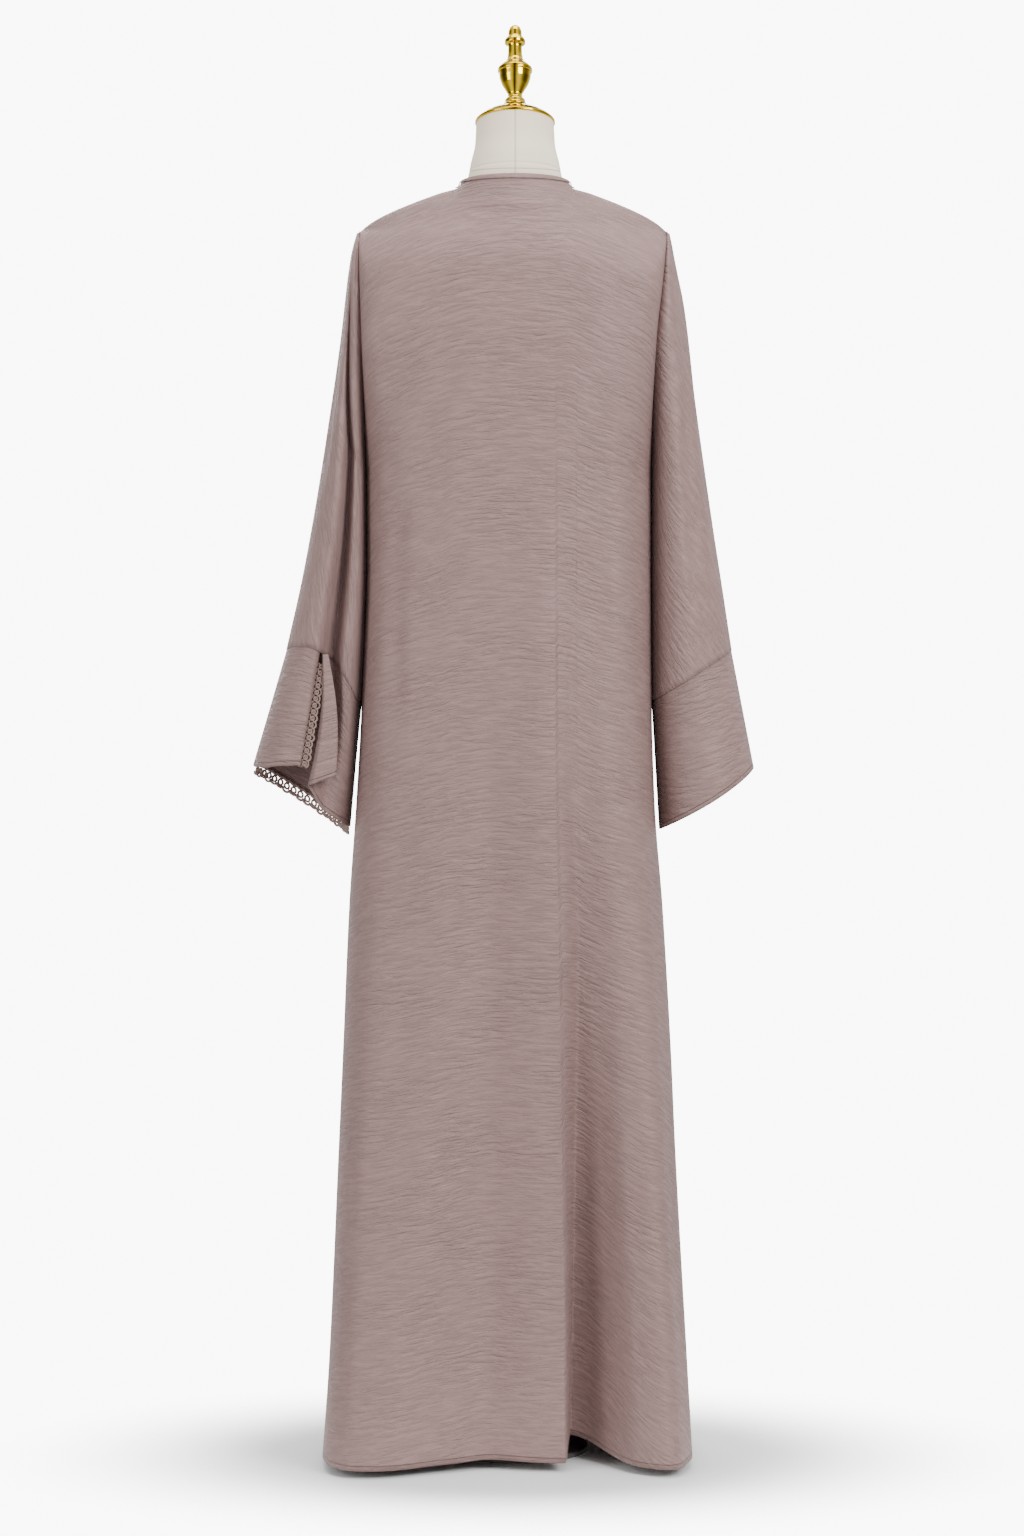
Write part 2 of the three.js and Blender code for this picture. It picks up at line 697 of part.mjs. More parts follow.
// The turned finial: foot, stem, urn, collar, neck, ring and knob.
const FINIAL = [
  [0, 0], [14.5, 0], [12, 3], [11.4, 7], [8.6, 10], [8, 14], [11.4, 20], [15, 26], [17.4, 33], [18.2, 40],
  [19.4, 41], [19.4, 44.5], [16.8, 47.5], [12, 51.5], [9, 56], [8, 62], [7.8, 71], [8.6, 73], [11.6, 74.5],
  [11.8, 78], [10, 81], [7.8, 82.5], [7.4, 89.5], [6, 93.5], [3.4, 95.8], [0, 96.5],
];

function basePlate() {
  const { radius, thick, edge } = BASE;
  return [[0, 0], [radius - 1, 0], [radius, 1], [radius, thick - edge], [radius - edge, thick], [0, thick]];
}

function poleSocket() {
  const { hub, hubTop } = BASE;
  const top = hubTop - BASE.thick - FORM_GAP;
  const [root, side, rim] = [POLE_RADIUS + 5, POLE_RADIUS + 4, POLE_RADIUS + 2];
  return [[0, 0], [hub, 0], [hub, 3], [root, 8], [side, top - 2], [rim, top], [0, top]];
}

const model = new THREE.Group();
model.name = 'abaya_on_dress_form';

function add(parent, name, geometry, material) {
  const mesh = new THREE.Mesh(geometry, material);
  mesh.name = name;
  parent.add(mesh);
  return mesh;
}

const backGrid = panel(DOWN, BACK_COLUMNS, (u, v) => bodyPoint('back', u, v));
add(model, 'back', wall(backGrid, CLOTH, -1), FINISH.cloth());
for (const [name, side] of [['front_left', -1], ['front_right', 1]]) {
  const columns = FRONT_COLUMNS.map((u) => -side * u);
  const grid = panel(DOWN, columns, (u, v) => frontPoint(side, u, v));
  add(model, name, wall(grid, CLOTH, -side), FINISH.cloth());
}
add(model, 'sleeve_left', sleeve(-1), FINISH.cloth());
add(model, 'sleeve_right', sleeve(1), FINISH.cloth());
add(model, 'cuff_right', rightCuff(), FINISH.cloth());
add(model, 'cuff_left', leftCuff(), FINISH.cloth());
add(model, 'lace_slit', slitLace(), FINISH.lace());
add(model, 'lace_hem', hemLace(), FINISH.lace());
add(model, 'neck_binding', neckBinding(), FINISH.cloth());
add(model, 'form_torso', stack(TORSO.map((row) => torsoRing(row, 36))), FINISH.form());

// The cap and the finial lean forward with the neck.
const head = new THREE.Group();
head.position.set(0, TORSO[0].middleY, TORSO[0].z);
head.rotation.x = THREE.MathUtils.degToRad(-CAP.lean);
model.add(head);
add(head, 'neck_cap', lathe(CAP_OUTLINE, 36), FINISH.brass()).position.z = FORM_GAP;
add(head, 'finial', lathe(FINIAL, 20), FINISH.brass()).position.z = CAP.height + 2 * FORM_GAP;

const poleFoot = BASE.hubTop + FORM_GAP;
const pole = new THREE.CylinderGeometry(POLE_RADIUS, POLE_RADIUS, FORM_FOOT - FORM_GAP - poleFoot, 20);
pole.rotateX(QUARTER);
add(model, 'pole', pole, FINISH.steel()).position.z = (FORM_FOOT - FORM_GAP + poleFoot) / 2;
add(model, 'pole_socket', lathe(poleSocket(), 24), FINISH.steel()).position.z = BASE.thick + FORM_GAP;
add(model, 'base', lathe(basePlate(), 40), FINISH.base()).position.y = BASE.forward;

export default model;
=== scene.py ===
"""An abaya cloak of crinkled satin-backed crepe, hung on a limbless dress form.

The wearer's back faces -Y and the wearer's left is -X. Sizes in the tables are millimetres, and
every mesh is made in metres. Each piece of cloth is a thin shell on the form of its solid.
"""
from math import pi, radians, sin

import bpy
import numpy as np
from mathutils import Matrix, Vector


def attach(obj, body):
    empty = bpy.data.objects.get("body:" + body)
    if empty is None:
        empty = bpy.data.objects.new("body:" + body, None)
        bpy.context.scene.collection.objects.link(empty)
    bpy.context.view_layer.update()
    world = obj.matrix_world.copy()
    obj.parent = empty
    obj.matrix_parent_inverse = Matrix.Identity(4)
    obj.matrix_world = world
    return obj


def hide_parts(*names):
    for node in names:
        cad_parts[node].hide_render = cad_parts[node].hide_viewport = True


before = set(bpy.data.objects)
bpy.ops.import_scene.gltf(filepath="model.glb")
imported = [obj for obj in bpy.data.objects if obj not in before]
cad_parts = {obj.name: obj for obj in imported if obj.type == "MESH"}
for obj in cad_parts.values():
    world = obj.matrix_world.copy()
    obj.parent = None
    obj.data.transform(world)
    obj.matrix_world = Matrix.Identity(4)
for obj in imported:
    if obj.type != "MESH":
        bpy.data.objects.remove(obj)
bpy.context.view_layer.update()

MM = 0.001
QUARTER = pi / 2

# ---------------------------------------------------------------- driving sizes
CLOTH = 1.2  # wall of the solids that the shells lie in
SHELL = 0.5  # the cloth itself
SEAM = 0.05  # gap between panels along a seam
HEM = dict(rise=9, fallen=16, side=2, side_share=0.3)  # it lifts where folds go in, and at the sides
CROWN = dict(tip=4, more=92, power=6, blend=0.12)  # how soon the cloth turns down from its top edge
SHOULDER = dict(spread=0.94, slope=0.85, drop=0.15, power=6)
NECK = dict(share=0.3, half=61, centre=4, back=56, front=72, side_z=1422, back_z=1431, front_z=1382,
            back_curve=0.45, front_curve=1.5)
TIP = dict(left=173, right=169, z=1372)
LAP = dict(reach=0.05, fade=0.3, lift=3.9)
PANEL_LENGTH = 1420
BINDING = dict(rise=0.3, fall=5, along=0.028)
HEM_DEEP = 6.0  # turned and stitched hem
SLEEVE_CLEAR = 0.8  # the sleeves hang against the body
HEAD = dict(in_=0.4, half=11, z=1373, fall=3.6)  # the sleeve's edge at the tip of the shoulder
CUFF_SEAM = (0, 0, 1.5)  # the cuff's edge is tucked inside the sleeve's
CUFF_LEVEL = -0.2  # the cuffs lie inside their form
ARM = dict(least_deep=30, fold_from=0.1, seam_from=0.45, girth_half=150)
RIBBON = (1.4, 0.6)  # how the lace's cords are flattened


# ---------------------------------------------------------------- tables
def table(names, rows):
    return {name: np.array([row[i] for row in rows], float) for i, name in enumerate(names.split())}


def read(rows, by, column, place):
    """A smooth curve through one column, read at places in another; it never overshoots."""
    at, value = rows[by], rows[column]
    if at[0] > at[-1]:
        at, value = at[::-1], value[::-1]
    slope = np.diff(value) / np.diff(at)
    lean = np.empty(len(at))
    lean[0], lean[-1] = slope[0], slope[-1]
    before, after = slope[:-1], slope[1:]
    same = before * after > 0
    both = np.where(same, before + after, 1)
    lean[1:-1] = np.where(same, 2 * before * after / both, 0)
    place = np.clip(place, at[0], at[-1])
    i = np.clip(np.searchsorted(at, place, side="left") - 1, 0, len(at) - 2)
    span = at[i + 1] - at[i]
    t = (place - at[i]) / span
    a, b, ta, tb = value[i], value[i + 1], lean[i] * span, lean[i + 1] * span
    return a + t * ta + t * t * (3 * (b - a) - 2 * ta - tb) + t**3 * (2 * (a - b) + ta + tb)


# Half the armhole's depth, from the tip of the shoulder down to the armpit.
ARMHOLE = table("z half", [
    (1373, 0), (1366, 21), (1352, 35), (1330, 46), (1300, 53),
    (1250, 54), (1200, 43), (1160, 27), (1130, 11), (1108, 0),
])

# Outline of the body: half widths, depths behind and in front, and how square the section is.
BODY = table("z left right back front square", [
    (1380, 173, 169, 84, 78, 2.3),
    (1320, 171, 163, 94, 92, 2.5),
    (1245, 168.5, 155, 100, 104, 2.7),
    (1140, 165.5, 151, 99, 112, 2.8),
    (1015, 164.5, 151, 100, 114, 2.8),
    (850, 170.5, 152, 108, 117, 2.8),
    (735, 177, 155.5, 115, 121, 2.8),
    (620, 185, 164.5, 121, 126, 2.8),
    (457, 192, 174, 130, 133, 3.1),
    (344, 197, 179, 137, 138, 3.4),
    (118, 207, 191.5, 150, 148, 4.1),
    (0, 215, 198, 156, 154, 4.5),
])

# Soft folds. across: the bottom of the trough, -1 at the left side seam and 1 at the right; drift:
# how far it moves by the top; wide: half width; deep: how far the cloth goes in at the hem, with a
# ridge negative; top: height where the fold has gone.
BACK_FOLDS = table("across drift wide deep top", [
    (-0.42, 0.03, 0.2, -4, 1000),
    (-0.1, 0.01, 0.12, 6, 1050),
    (0.08, -0.01, 0.1, -5, 1150),
    (0.84, -0.1, 0.1, 8, 1000),
])
FRONT_FOLDS = table("across drift wide deep top", [
    (-0.62, 0.05, 0.16, -12, 900),
    (-0.36, 0.02, 0.2, 26, 860),
    (-0.12, -0.02, 0.14, -9, 980),
    (0.24, 0.03, 0.18, 20, 800),
    (0.5, -0.02, 0.16, -10, 940),
    (0.78, -0.04, 0.14, 12, 760),
])
HOLLOW = dict(start=-0.7, low=-0.04, rise=0.28, out=0.72, deep=62, top=1000)
DEEP_FOLD = table("z ridge wall floor deep", [
    (0, 0.18, 0.02, 0.31, 54),
    (70, 0.182, 0.025, 0.31, 50),
    (190, 0.186, 0.038, 0.31, 41),
    (410, 0.189, 0.065, 0.31, 25),
    (580, 0.19, 0.09, 0.29, 13),
    (720, 0.19, 0.1, 0.27, 5),
    (850, 0.19, 0.12, 0.26, 0),
])
RIDGE_SHARE, RIDGE_WIDE = 0.14, 0.12

SLEEVE = table("row inner outer left right deep", [
    (0, 1369.5, 1367, 176, 171.8, 23),
    (1, 1354, 1358.5, 178.8, 173.8, 37),
    (2, 1334, 1344.5, 182.2, 176.2, 47),
    (3, 1308, 1323, 185.6, 180.2, 55),
    (4, 1275, 1294, 189, 185.8, 59),
    (5, 1230, 1254, 193.6, 191.4, 61),
    (6, 1180, 1208, 200, 197.2, 62),
    (7, 1125, 1158, 207.6, 203.8, 63),
    (8, 1060, 1098, 217, 212.4, 64),
    (9, 995, 1040, 227, 221, 65),
    (10, 930, 980, 238.5, 230.4, 67),
    (11, 850, 906, 255.3, 241.8, 69),
])
LEFT_SLEEVE_FOLDS = table("around wide top foot", [
    (-1.8, 0.4, 0, 34),
    (-2.45, 0.32, 3, -9),
    (1.3, 0.5, 0, 9),
])
RIGHT_SLEEVE_FOLDS = table("around wide top foot", [
    (-1.15, 0.55, 0, 4),
    (1.5, 0.45, 0, 10),
    (2.2, 0.35, 0, -5),
])
LEFT_SEAM = table("around rise", [
    (-1, 0), (-0.86, -2), (-0.76, 10), (-0.64, 22), (-0.46, 25), (-0.28, 15), (-0.1, 3), (0, 0), (1, 0),
])
RIGHT_MOUTH = dict(outer_x=267.5, outer_z=776, inner_x=161.5, inner_z=706, deep=66,
                   sag=5, sag_at=-0.4, sag_half=0.5)
LEFT_MOUTH = dict(outer_x=293.5, outer_z=778, inner_x=184.5, inner_z=709, deep=64)
SLIT = dict(top=-0.485, foot=-0.51, top_end=1.5, foot_end=1.44, bow=5.5, bow_from=0.75)
LEFT_HEM = table("around y z", [
    (-0.5, -4, 36), (-0.38, -5, 23), (-0.24, -3, 8), (-0.08, 0, 0), (1.1, 0, 0), (1.34, 8, 2), (1.44, 0, 20),
])
FLAP = dict(top_reach=7, reach=31, lift=7, rise=11, bend=0.2, curl=8, tuck=2)


# ---------------------------------------------------------------- the cloth's form
def smooth(low, high, value):
    t = np.clip((value - low) / (high - low), 0, 1)
    return t * t * (3 - 2 * t)


def bump(t):
    return np.where(np.abs(t) < 1, np.cos(np.clip(t, -1, 1) * QUARTER) ** 2, 0)


def points(x, y, z):
    return np.stack(np.broadcast_arrays(x, y, z), -1).astype(float)


def armhole_half(z):
    return read(ARMHOLE, "z", "half", z)


def body_half(side, z):
    return np.where(side < 0, read(BODY, "z", "left", z), read(BODY, "z", "right", z))


def deep_fold(u, z):
    ridge, wall, floor, deep = (read(DEEP_FOLD, "z", name, z) for name in ("ridge", "wall", "floor", "deep"))
    past = u - ridge
    into = smooth(0, wall, past)
    back = 1 - smooth(wall * 0.7, floor, past)
    inside = deep * ((1 + RIDGE_SHARE) * into * back - RIDGE_SHARE * (1 - into))
    return np.where(past < 0, -deep * RIDGE_SHARE * bump(past / RIDGE_WIDE), inside)


def folds(panel, u, z):
    inward = 0
    rows = BACK_FOLDS if panel == "back" else FRONT_FOLDS
    if panel == "back":
        sides = smooth(HOLLOW["start"], HOLLOW["low"], u) * (1 - smooth(HOLLOW["rise"], HOLLOW["out"], u))
        inward = deep_fold(u, z) + HOLLOW["deep"] * sides * (1 - smooth(0, 1, z / HOLLOW["top"]))
    for across, drift, wide, deep, top in zip(*rows.values()):
        height = np.minimum(z / top, 1)
        inward = inward + deep * (1 - smooth(0, 1, height)) * bump((u - across - drift * height) / wide)
    return inward


def section(panel, u, z):
    facing = -1 if panel == "back" else 1
    square = read(BODY, "z", "square", z)
    across = np.sin(u * QUARTER)
    edge = armhole_half(z) + SEAM / 2
    round_ = np.maximum(1 - np.abs(across) ** square, 0) ** (1 / square)
    deep = edge + (read(BODY, "z", panel, z) - edge) * round_
    return points(body_half(u, z) * across, facing * (deep - folds(panel, u, z)), z)


def top_edge(panel, u):
    facing = -1 if panel == "back" else 1
    side = np.sign(u)
    turn = np.clip(np.abs(u) / NECK["share"], 0, 1) * QUARTER
    reach = NECK[panel]
    dip = np.maximum(np.cos(turn), 0) ** NECK[panel + "_curve"]
    neck = points(
        side * NECK["half"] * np.sin(turn),
        NECK["centre"] + facing * (reach * np.cos(turn) + SEAM / 2),
        NECK["side_z"] + (NECK[panel + "_z"] - NECK["side_z"]) * dip,
    )
    along = np.clip((np.abs(u) - NECK["share"]) / (1 - NECK["share"]), 0, 1)
    tip = np.where(side < 0, TIP["left"], TIP["right"])
    fall = SHOULDER["slope"] * along + SHOULDER["drop"] * along ** SHOULDER["power"]
    shoulder = points(
        side * (NECK["half"] + (tip - NECK["half"]) * along ** SHOULDER["spread"]),
        NECK["centre"] * (1 - along) + facing * SEAM / 2,
        NECK["side_z"] + (TIP["z"] - NECK["side_z"]) * fall,
    )
    return np.where((np.abs(u) <= NECK["share"])[..., None], neck, shoulder)


def hem_height(panel, u):
    sides = HEM["side"] * bump((np.abs(u) - 1) / HEM["side_share"])
    if panel == "front":
        return HEM["rise"] + sides
    fallen = np.maximum(folds("back", u, 0.0), 0) / (HOLLOW["deep"] + DEEP_FOLD["deep"][0])
    return HEM["rise"] + HEM["fallen"] * fallen**3 + sides


def body_point(panel, u, v):
    u, v = np.broadcast_arrays(np.asarray(u, float), np.asarray(v, float))
    top = top_edge(panel, u)
    z = top[..., 2] + (hem_height(panel, u) - top[..., 2]) * v
    below = section(panel, u, z)
    length = CROWN["tip"] + CROWN["more"] * (1 - np.abs(u) ** CROWN["power"])
    s = np.clip((top[..., 2] - z) / length, 0, 1)
    neck_share = smooth(NECK["share"] + CROWN["blend"], NECK["share"] - CROWN["blend"], np.abs(u))
    round_ = (1 - (1 - s) ** 2) ** (0.5 + 0.5 * neck_share)
    spread = top + (below - top) * round_[..., None]
    spread[..., 2] = z
    return spread


def front_point(side, u, v):
    point = body_point("front", u, v)
    if side > 0:
        point[..., 1] += LAP["lift"] * (1 - smooth(LAP["reach"], LAP["reach"] + LAP["fade"], u))
    return point


# ---------------------------------------------------------------- sleeves and cuffs
def tube(side, row, a):
    shut = np.arcsin(np.minimum(row["open"] / row["deep"], 1))
    turn = a * (pi - shut)
    half_x = (row["outer_x"] - row["inner_x"]) / (1 + np.cos(shut))
    half_z = (row["outer_z"] - row["inner_z"]) / (1 + np.cos(shut))
    c, s = np.cos(turn), np.sin(turn)
    x = side * (row["outer_x"] - half_x + half_x * c)
    z = row["outer_z"] - half_z + half_z * c
    return points(x, row["deep"] * s, z)


def sleeve_row(side, t):
    row = t * SLEEVE["row"][-1]
    value = {name: read(SLEEVE, "row", name, row) for name in ("inner", "outer", "left", "right", "deep")}
    open_ = armhole_half(value["inner"]) + SEAM / 2
    return dict(
        inner_x=body_half(side, value["inner"]) + SLEEVE_CLEAR,
        inner_z=value["inner"],
        outer_x=value["left" if side < 0 else "right"],
        outer_z=value["outer"],
        deep=np.maximum(value["deep"], open_),
        open=open_,
    )


def sleeve_point(side, t, a):
    t, a = np.broadcast_arrays(np.asarray(t, float), np.asarray(a, float))
    point = tube(side, sleeve_row(side, t), a)
    inward = 0
    rows = LEFT_SLEEVE_FOLDS if side < 0 else RIGHT_SLEEVE_FOLDS
    for around, wide, top, foot in zip(*rows.values()):
        grown = top + (foot - top) * smooth(ARM["fold_from"], 1, t)
        inward = inward + grown * bump((a * pi - around) / wide)
    point[..., 1] *= 1 - inward / np.maximum(np.abs(point[..., 1]), ARM["least_deep"])
    if side < 0:
        point[..., 2] += read(LEFT_SEAM, "around", "rise", a) * smooth(ARM["seam_from"], 1, t)
    return point


def cuff_top(side, a):
    return sleeve_point(side, 1.0, a) + np.array(CUFF_SEAM) * (side, 1, 1)


def mouth(side, a):
    return tube(side, dict(LEFT_MOUTH if side < 0 else RIGHT_MOUTH, open=SEAM / 2), np.asarray(a, float))


def right_cuff_point(a, t):
    end = mouth(1, a)
    end[..., 2] -= RIGHT_MOUTH["sag"] * bump((a - RIGHT_MOUTH["sag_at"]) / RIGHT_MOUTH["sag_half"])
    start = cuff_top(1, a)
    return start + (end - start) * np.asarray(t)[..., None]


def left_cuff_point(w, t):
    w, t = np.broadcast_arrays(np.asarray(w, float), np.asarray(t, float))

    def place(start, end):
        around = start + (end - start) * w
        return np.where(around > 1, around - 2, around)

    start = cuff_top(-1, place(SLIT["top"], SLIT["top_end"]))
    end = mouth(-1, place(SLIT["foot"], SLIT["foot_end"]))
    around = SLIT["foot"] + (SLIT["foot_end"] - SLIT["foot"]) * w
    end[..., 1] += read(LEFT_HEM, "around", "y", around)
    end[..., 2] += read(LEFT_HEM, "around", "z", around)
    point = start + (end - start) * t[..., None]
    point[..., 0] += SLIT["bow"] * np.sin(pi * t) * smooth(SLIT["bow_from"], 1, w)
    return point


def flap_point(f, t):
    f, t = np.broadcast_arrays(np.asarray(f, float), np.asarray(t, float))
    reach = FLAP["top_reach"] + (FLAP["reach"] - FLAP["top_reach"]) * t
    off = smooth(0, FLAP["bend"], f) * FLAP["lift"]
    edge = left_cuff_point(np.ones_like(t), t)
    curl = FLAP["curl"] * f * f * t
    return edge + points(reach * f, -off + curl, FLAP["rise"] * f * t - FLAP["tuck"] * (1 - t))


# ---------------------------------------------------------------- meshes
def normals(grid):
    down = np.gradient(grid, axis=0)
    across = np.gradient(grid, axis=1)
    out = np.cross(across, down)
    return out / np.maximum(np.linalg.norm(out, axis=-1, keepdims=True), 1e-9)


def lengths(grid, axis):
    """How far along the cloth each point is, down or across, in metres."""
    step = np.linalg.norm(np.diff(grid, axis=axis), axis=-1)
    total = np.cumsum(step, axis=axis)
    start = np.zeros_like(np.take(total, [0], axis=axis))
    return np.concatenate([start, total], axis=axis) * MM


def mesh_object(name, vertices, faces, material, grain=None, edges=None):
    mesh = bpy.data.meshes.new(name)
    mesh.from_pydata([tuple(v) for v in vertices], [], faces)
    mesh.validate()
    mesh.polygons.foreach_set("use_smooth", [True] * len(mesh.polygons))
    loops = np.empty(len(mesh.loops), np.int32)
    mesh.loops.foreach_get("vertex_index", loops)
    for layer, values in (("grain", grain), ("edges", edges)):
        if values is not None:
            mesh.uv_layers.new(name=layer).data.foreach_set("uv", values[loops].astype(np.float32).ravel())
    mesh.materials.append(material)
    piece = bpy.data.objects.new(name, mesh)
    bpy.context.scene.collection.objects.link(piece)
    return piece


def shell(name, grid, outward, material, level=CLOTH / 2, droop=0.0):
    """A closed thin wall about a grid of points in millimetres, rows down and columns across.

    The grain runs level with the rows, and droops by some metres towards the edges.
    """
    high, wide = grid.shape[:2]
    out = normals(grid) * outward
    middle = grid + out * np.broadcast_to(level, grid.shape[:2])[..., None]
    faces_of = [middle + out * SHELL / 2, middle - out * SHELL / 2]
    down, across = lengths(middle, 0), lengths(middle, 1)
    across = across - across[:, wide // 2:wide // 2 + 1]
    off = across / np.abs(across).max()
    level_down = down.mean(axis=1, keepdims=True) - droop * off**2
    grain = np.stack([across, level_down], -1).reshape(-1, 2)
    left = lengths(middle, 1)
    edges = np.stack([np.minimum(left, left[:, -1:] - left), down[-1:] - down], -1).reshape(-1, 2)
    at = np.arange(high * wide).reshape(high, wide)
    a, b, c, d = at[:-1, :-1], at[:-1, 1:], at[1:, 1:], at[1:, :-1]
    front = np.stack([a, b, c, d], -1).reshape(-1, 4)
    back = np.stack([a, d, c, b], -1).reshape(-1, 4) + high * wide
    rims = []
    for line in (at[0], at[:, -1], at[-1][::-1], at[::-1, 0]):
        rims.append(np.stack([line[1:], line[:-1], line[:-1] + high * wide, line[1:] + high * wide], -1))
    faces = np.concatenate([front, back] + rims)
    if outward > 0:
        faces = faces[:, ::-1]
    vertices = np.concatenate([face.reshape(-1, 3) for face in faces_of]) * MM
    twice = (2, 1)  # once for each face
    return mesh_object(name, vertices, faces.tolist(), material, np.tile(grain, twice), np.tile(edges, twice))


def sweep(path, radius, sides=6, closed=False):
    """Vertices and faces of a flattened cord along a path in millimetres."""
    path = np.asarray(path, float)
    ahead = np.roll(path, -1, 0) - np.roll(path, 1, 0) if closed else np.gradient(path, axis=0)
    ahead /= np.maximum(np.linalg.norm(ahead, axis=1, keepdims=True), 1e-9)
    up = np.tile((0.3, 0.9, 0.2), (len(path), 1))
    side = np.cross(ahead, up)
    side /= np.maximum(np.linalg.norm(side, axis=1, keepdims=True), 1e-9)
    over = np.cross(side, ahead)
    turn = np.arange(sides) * 2 * pi / sides
    c, s = np.cos(turn)[None, :, None], np.sin(turn)[None, :, None]
    ring = side[:, None] * RIBBON[0] * c + over[:, None] * RIBBON[1] * s
    vertices = (path[:, None] + ring * radius).reshape(-1, 3)
    at = np.arange(len(path) * sides).reshape(len(path), sides)
    rows = [(i, (i + 1) % len(path)) for i in range(len(path) if closed else len(path) - 1)]
    faces = []
    for i, j in rows:
        for k in range(sides):
            m = (k + 1) % sides
            faces.append((at[i, k], at[i, m], at[j, m], at[j, k]))
    if not closed:
        faces.append(tuple(at[0][::-1]))
        faces.append(tuple(at[-1]))
    return vertices, faces


def cords(name, runs, material):
    """Many cords as one piece; a run is (path, radius, closed)."""
    vertices, faces, count = [], [], 0
    for path, radius, closed in runs:
        more, ring = sweep(path, radius, closed=closed)
        vertices.append(more)
        faces += [tuple(int(k) + count for k in face) for face in ring]
        count += len(more)
    return mesh_object(name, np.concatenate(vertices) * MM, faces, material)


def stack(name, rings, material):
    """Closed rings, stacked and capped."""
    count = rings.shape[1]
    at = np.arange(rings.shape[0] * count).reshape(-1, count)
    turned = np.roll(at, -1, 1)
    sides = np.stack([at[:-1], turned[:-1], turned[1:], at[1:]], -1).reshape(-1, 4)
    faces = sides.tolist() + [at[0][::-1].tolist(), at[-1].tolist()]
    return mesh_object(name, rings.reshape(-1, 3) * MM, faces, material)


def turned_piece(name, outline, material, steps=72):
    """A turned piece about +Z from radii and heights, its corners eased."""
    outline = np.array(outline, float)
    eased = [outline[0]]
    for before, corner, after in zip(outline, outline[1:], outline[2:]):
        for share in (0.25, 0.12):
            eased.append(corner + (before - corner) * share)
        for share in (0.12, 0.25):
            eased.append(corner + (after - corner) * share)
    eased.append(outline[-1])
    eased = np.array(eased)[1:-1]
    turn = np.arange(steps) * 2 * pi / steps
    rings = points(eased[:, :1] * np.cos(turn), eased[:, :1] * np.sin(turn), eased[:, 1:])
    return stack(name, rings, material)


# ---------------------------------------------------------------- finishes
class Wire:
    """A socket's output. Arithmetic on it adds Math nodes."""

    def __init__(self, finish, socket):
        self.finish, self.socket = finish, socket

    def math(self, operation, *values):
        numbers = {i: value for i, value in enumerate(values)}
        return self.finish.node("ShaderNodeMath", {"operation": operation}, numbers)

    def __add__(self, other):
        return self.math("ADD", self, other)

    def __sub__(self, other):
        return self.math("SUBTRACT", self, other)

    def __rsub__(self, other):
        return self.math("SUBTRACT", other, self)

    def __mul__(self, other):
        return self.math("MULTIPLY", self, other)

    def __abs__(self):
        return self.math("ABSOLUTE", self)

    __radd__ = __add__

    def between(self, low, high):
        """0 at low and below, 1 at high and above."""
        values = {"Value": self, "From Min": low, "From Max": high, "To Min": 0, "To Max": 1}
        return self.finish.node("ShaderNodeMapRange", {"interpolation_type": "SMOOTHSTEP"}, values)


class Finish:
    """One material: a Principled shader and the nodes that feed it."""

    def __init__(self, name, **fixed):
        self.material = bpy.data.materials.new(name)
        self.material.use_nodes = True
        self.tree = self.material.node_tree
        self.tree.nodes.clear()
        self.shader = self.tree.nodes.new("ShaderNodeBsdfPrincipled")
        output = self.tree.nodes.new("ShaderNodeOutputMaterial")
        self.tree.links.new(self.shader.outputs[0], output.inputs[0])
        for key, value in fixed.items():
            self.set(key.replace("_", " ").title().replace("Ior", "IOR"), value)

    def set(self, key, value):
        self.fill(self.shader.inputs[key], value)

    def fill(self, socket, value):
        if isinstance(value, Wire):
            self.tree.links.new(value.socket, socket)
        elif hasattr(value, "__len__") and len(value) == 3 and socket.type == "RGBA":
            socket.default_value = (*value, 1)
        else:
            socket.default_value = value

    def node(self, kind, settings=None, values=None, out=0):
        node = self.tree.nodes.new(kind)
        for key, value in (settings or {}).items():
            setattr(node, key, value)
        for key, value in (values or {}).items():
            self.fill(node.inputs[key], value)
        return Wire(self, node.outputs[out])

    def mix(self, share, first, second):
        """A colour between two."""
        values = {0: share, 6: first, 7: second}
        return self.node("ShaderNodeMix", {"data_type": "RGBA"}, values, out=2)

    def place(self, layer, scale, turn=0.0):
        """Coordinates in metres along and down the cloth, turned and scaled."""
        layer_uv = self.node("ShaderNodeUVMap", {"uv_map": layer})
        values = {"Vector": layer_uv, "Rotation": (0, 0, radians(turn)), "Scale": scale}
        return self.node("ShaderNodeMapping", {"vector_type": "POINT"}, values)

    def noise(self, vector, scale=1.0, detail=2.0, rough=0.5, **more):
        values = {"Vector": vector, "Scale": scale, "Detail": detail, "Roughness": rough, **more}
        return self.node("ShaderNodeTexNoise", None, values)

    def parts(self, vector):
        split = self.tree.nodes.new("ShaderNodeSeparateXYZ")
        self.fill(split.inputs[0], vector)
        return [Wire(self, output) for output in split.outputs]

    def raise_by(self, height, distance, strength=1.0):
        """Height, from 0 to 1, as a bump of that many metres."""
        values = {"Height": height, "Distance": distance, "Strength": strength}
        self.set("Normal", self.node("ShaderNodeBump", None, values))


CREPE = (0.272, 0.177, 0.165)
# painted shade: a darker crepe colour laid into the troughs of the crinkles
CREPE_PAINTED_SHADE = (0.22, 0.141, 0.131)
# painted highlight: a lighter crepe colour laid on the crests of the fine crinkles
CREPE_PAINTED_HIGHLIGHT = (0.325, 0.222, 0.21)
CREPE_RELIEF = (0.0024, 0.9)
CRINKLE = dict(along=36, down=230, drift=0.008)  # how many to a metre, and how far they wander
FINE_CRINKLE = dict(along=120, down=680, drift=0.006)
STITCHES = dict(per_metre=380, place=0.92, colour=(0.11, 0.075, 0.07))


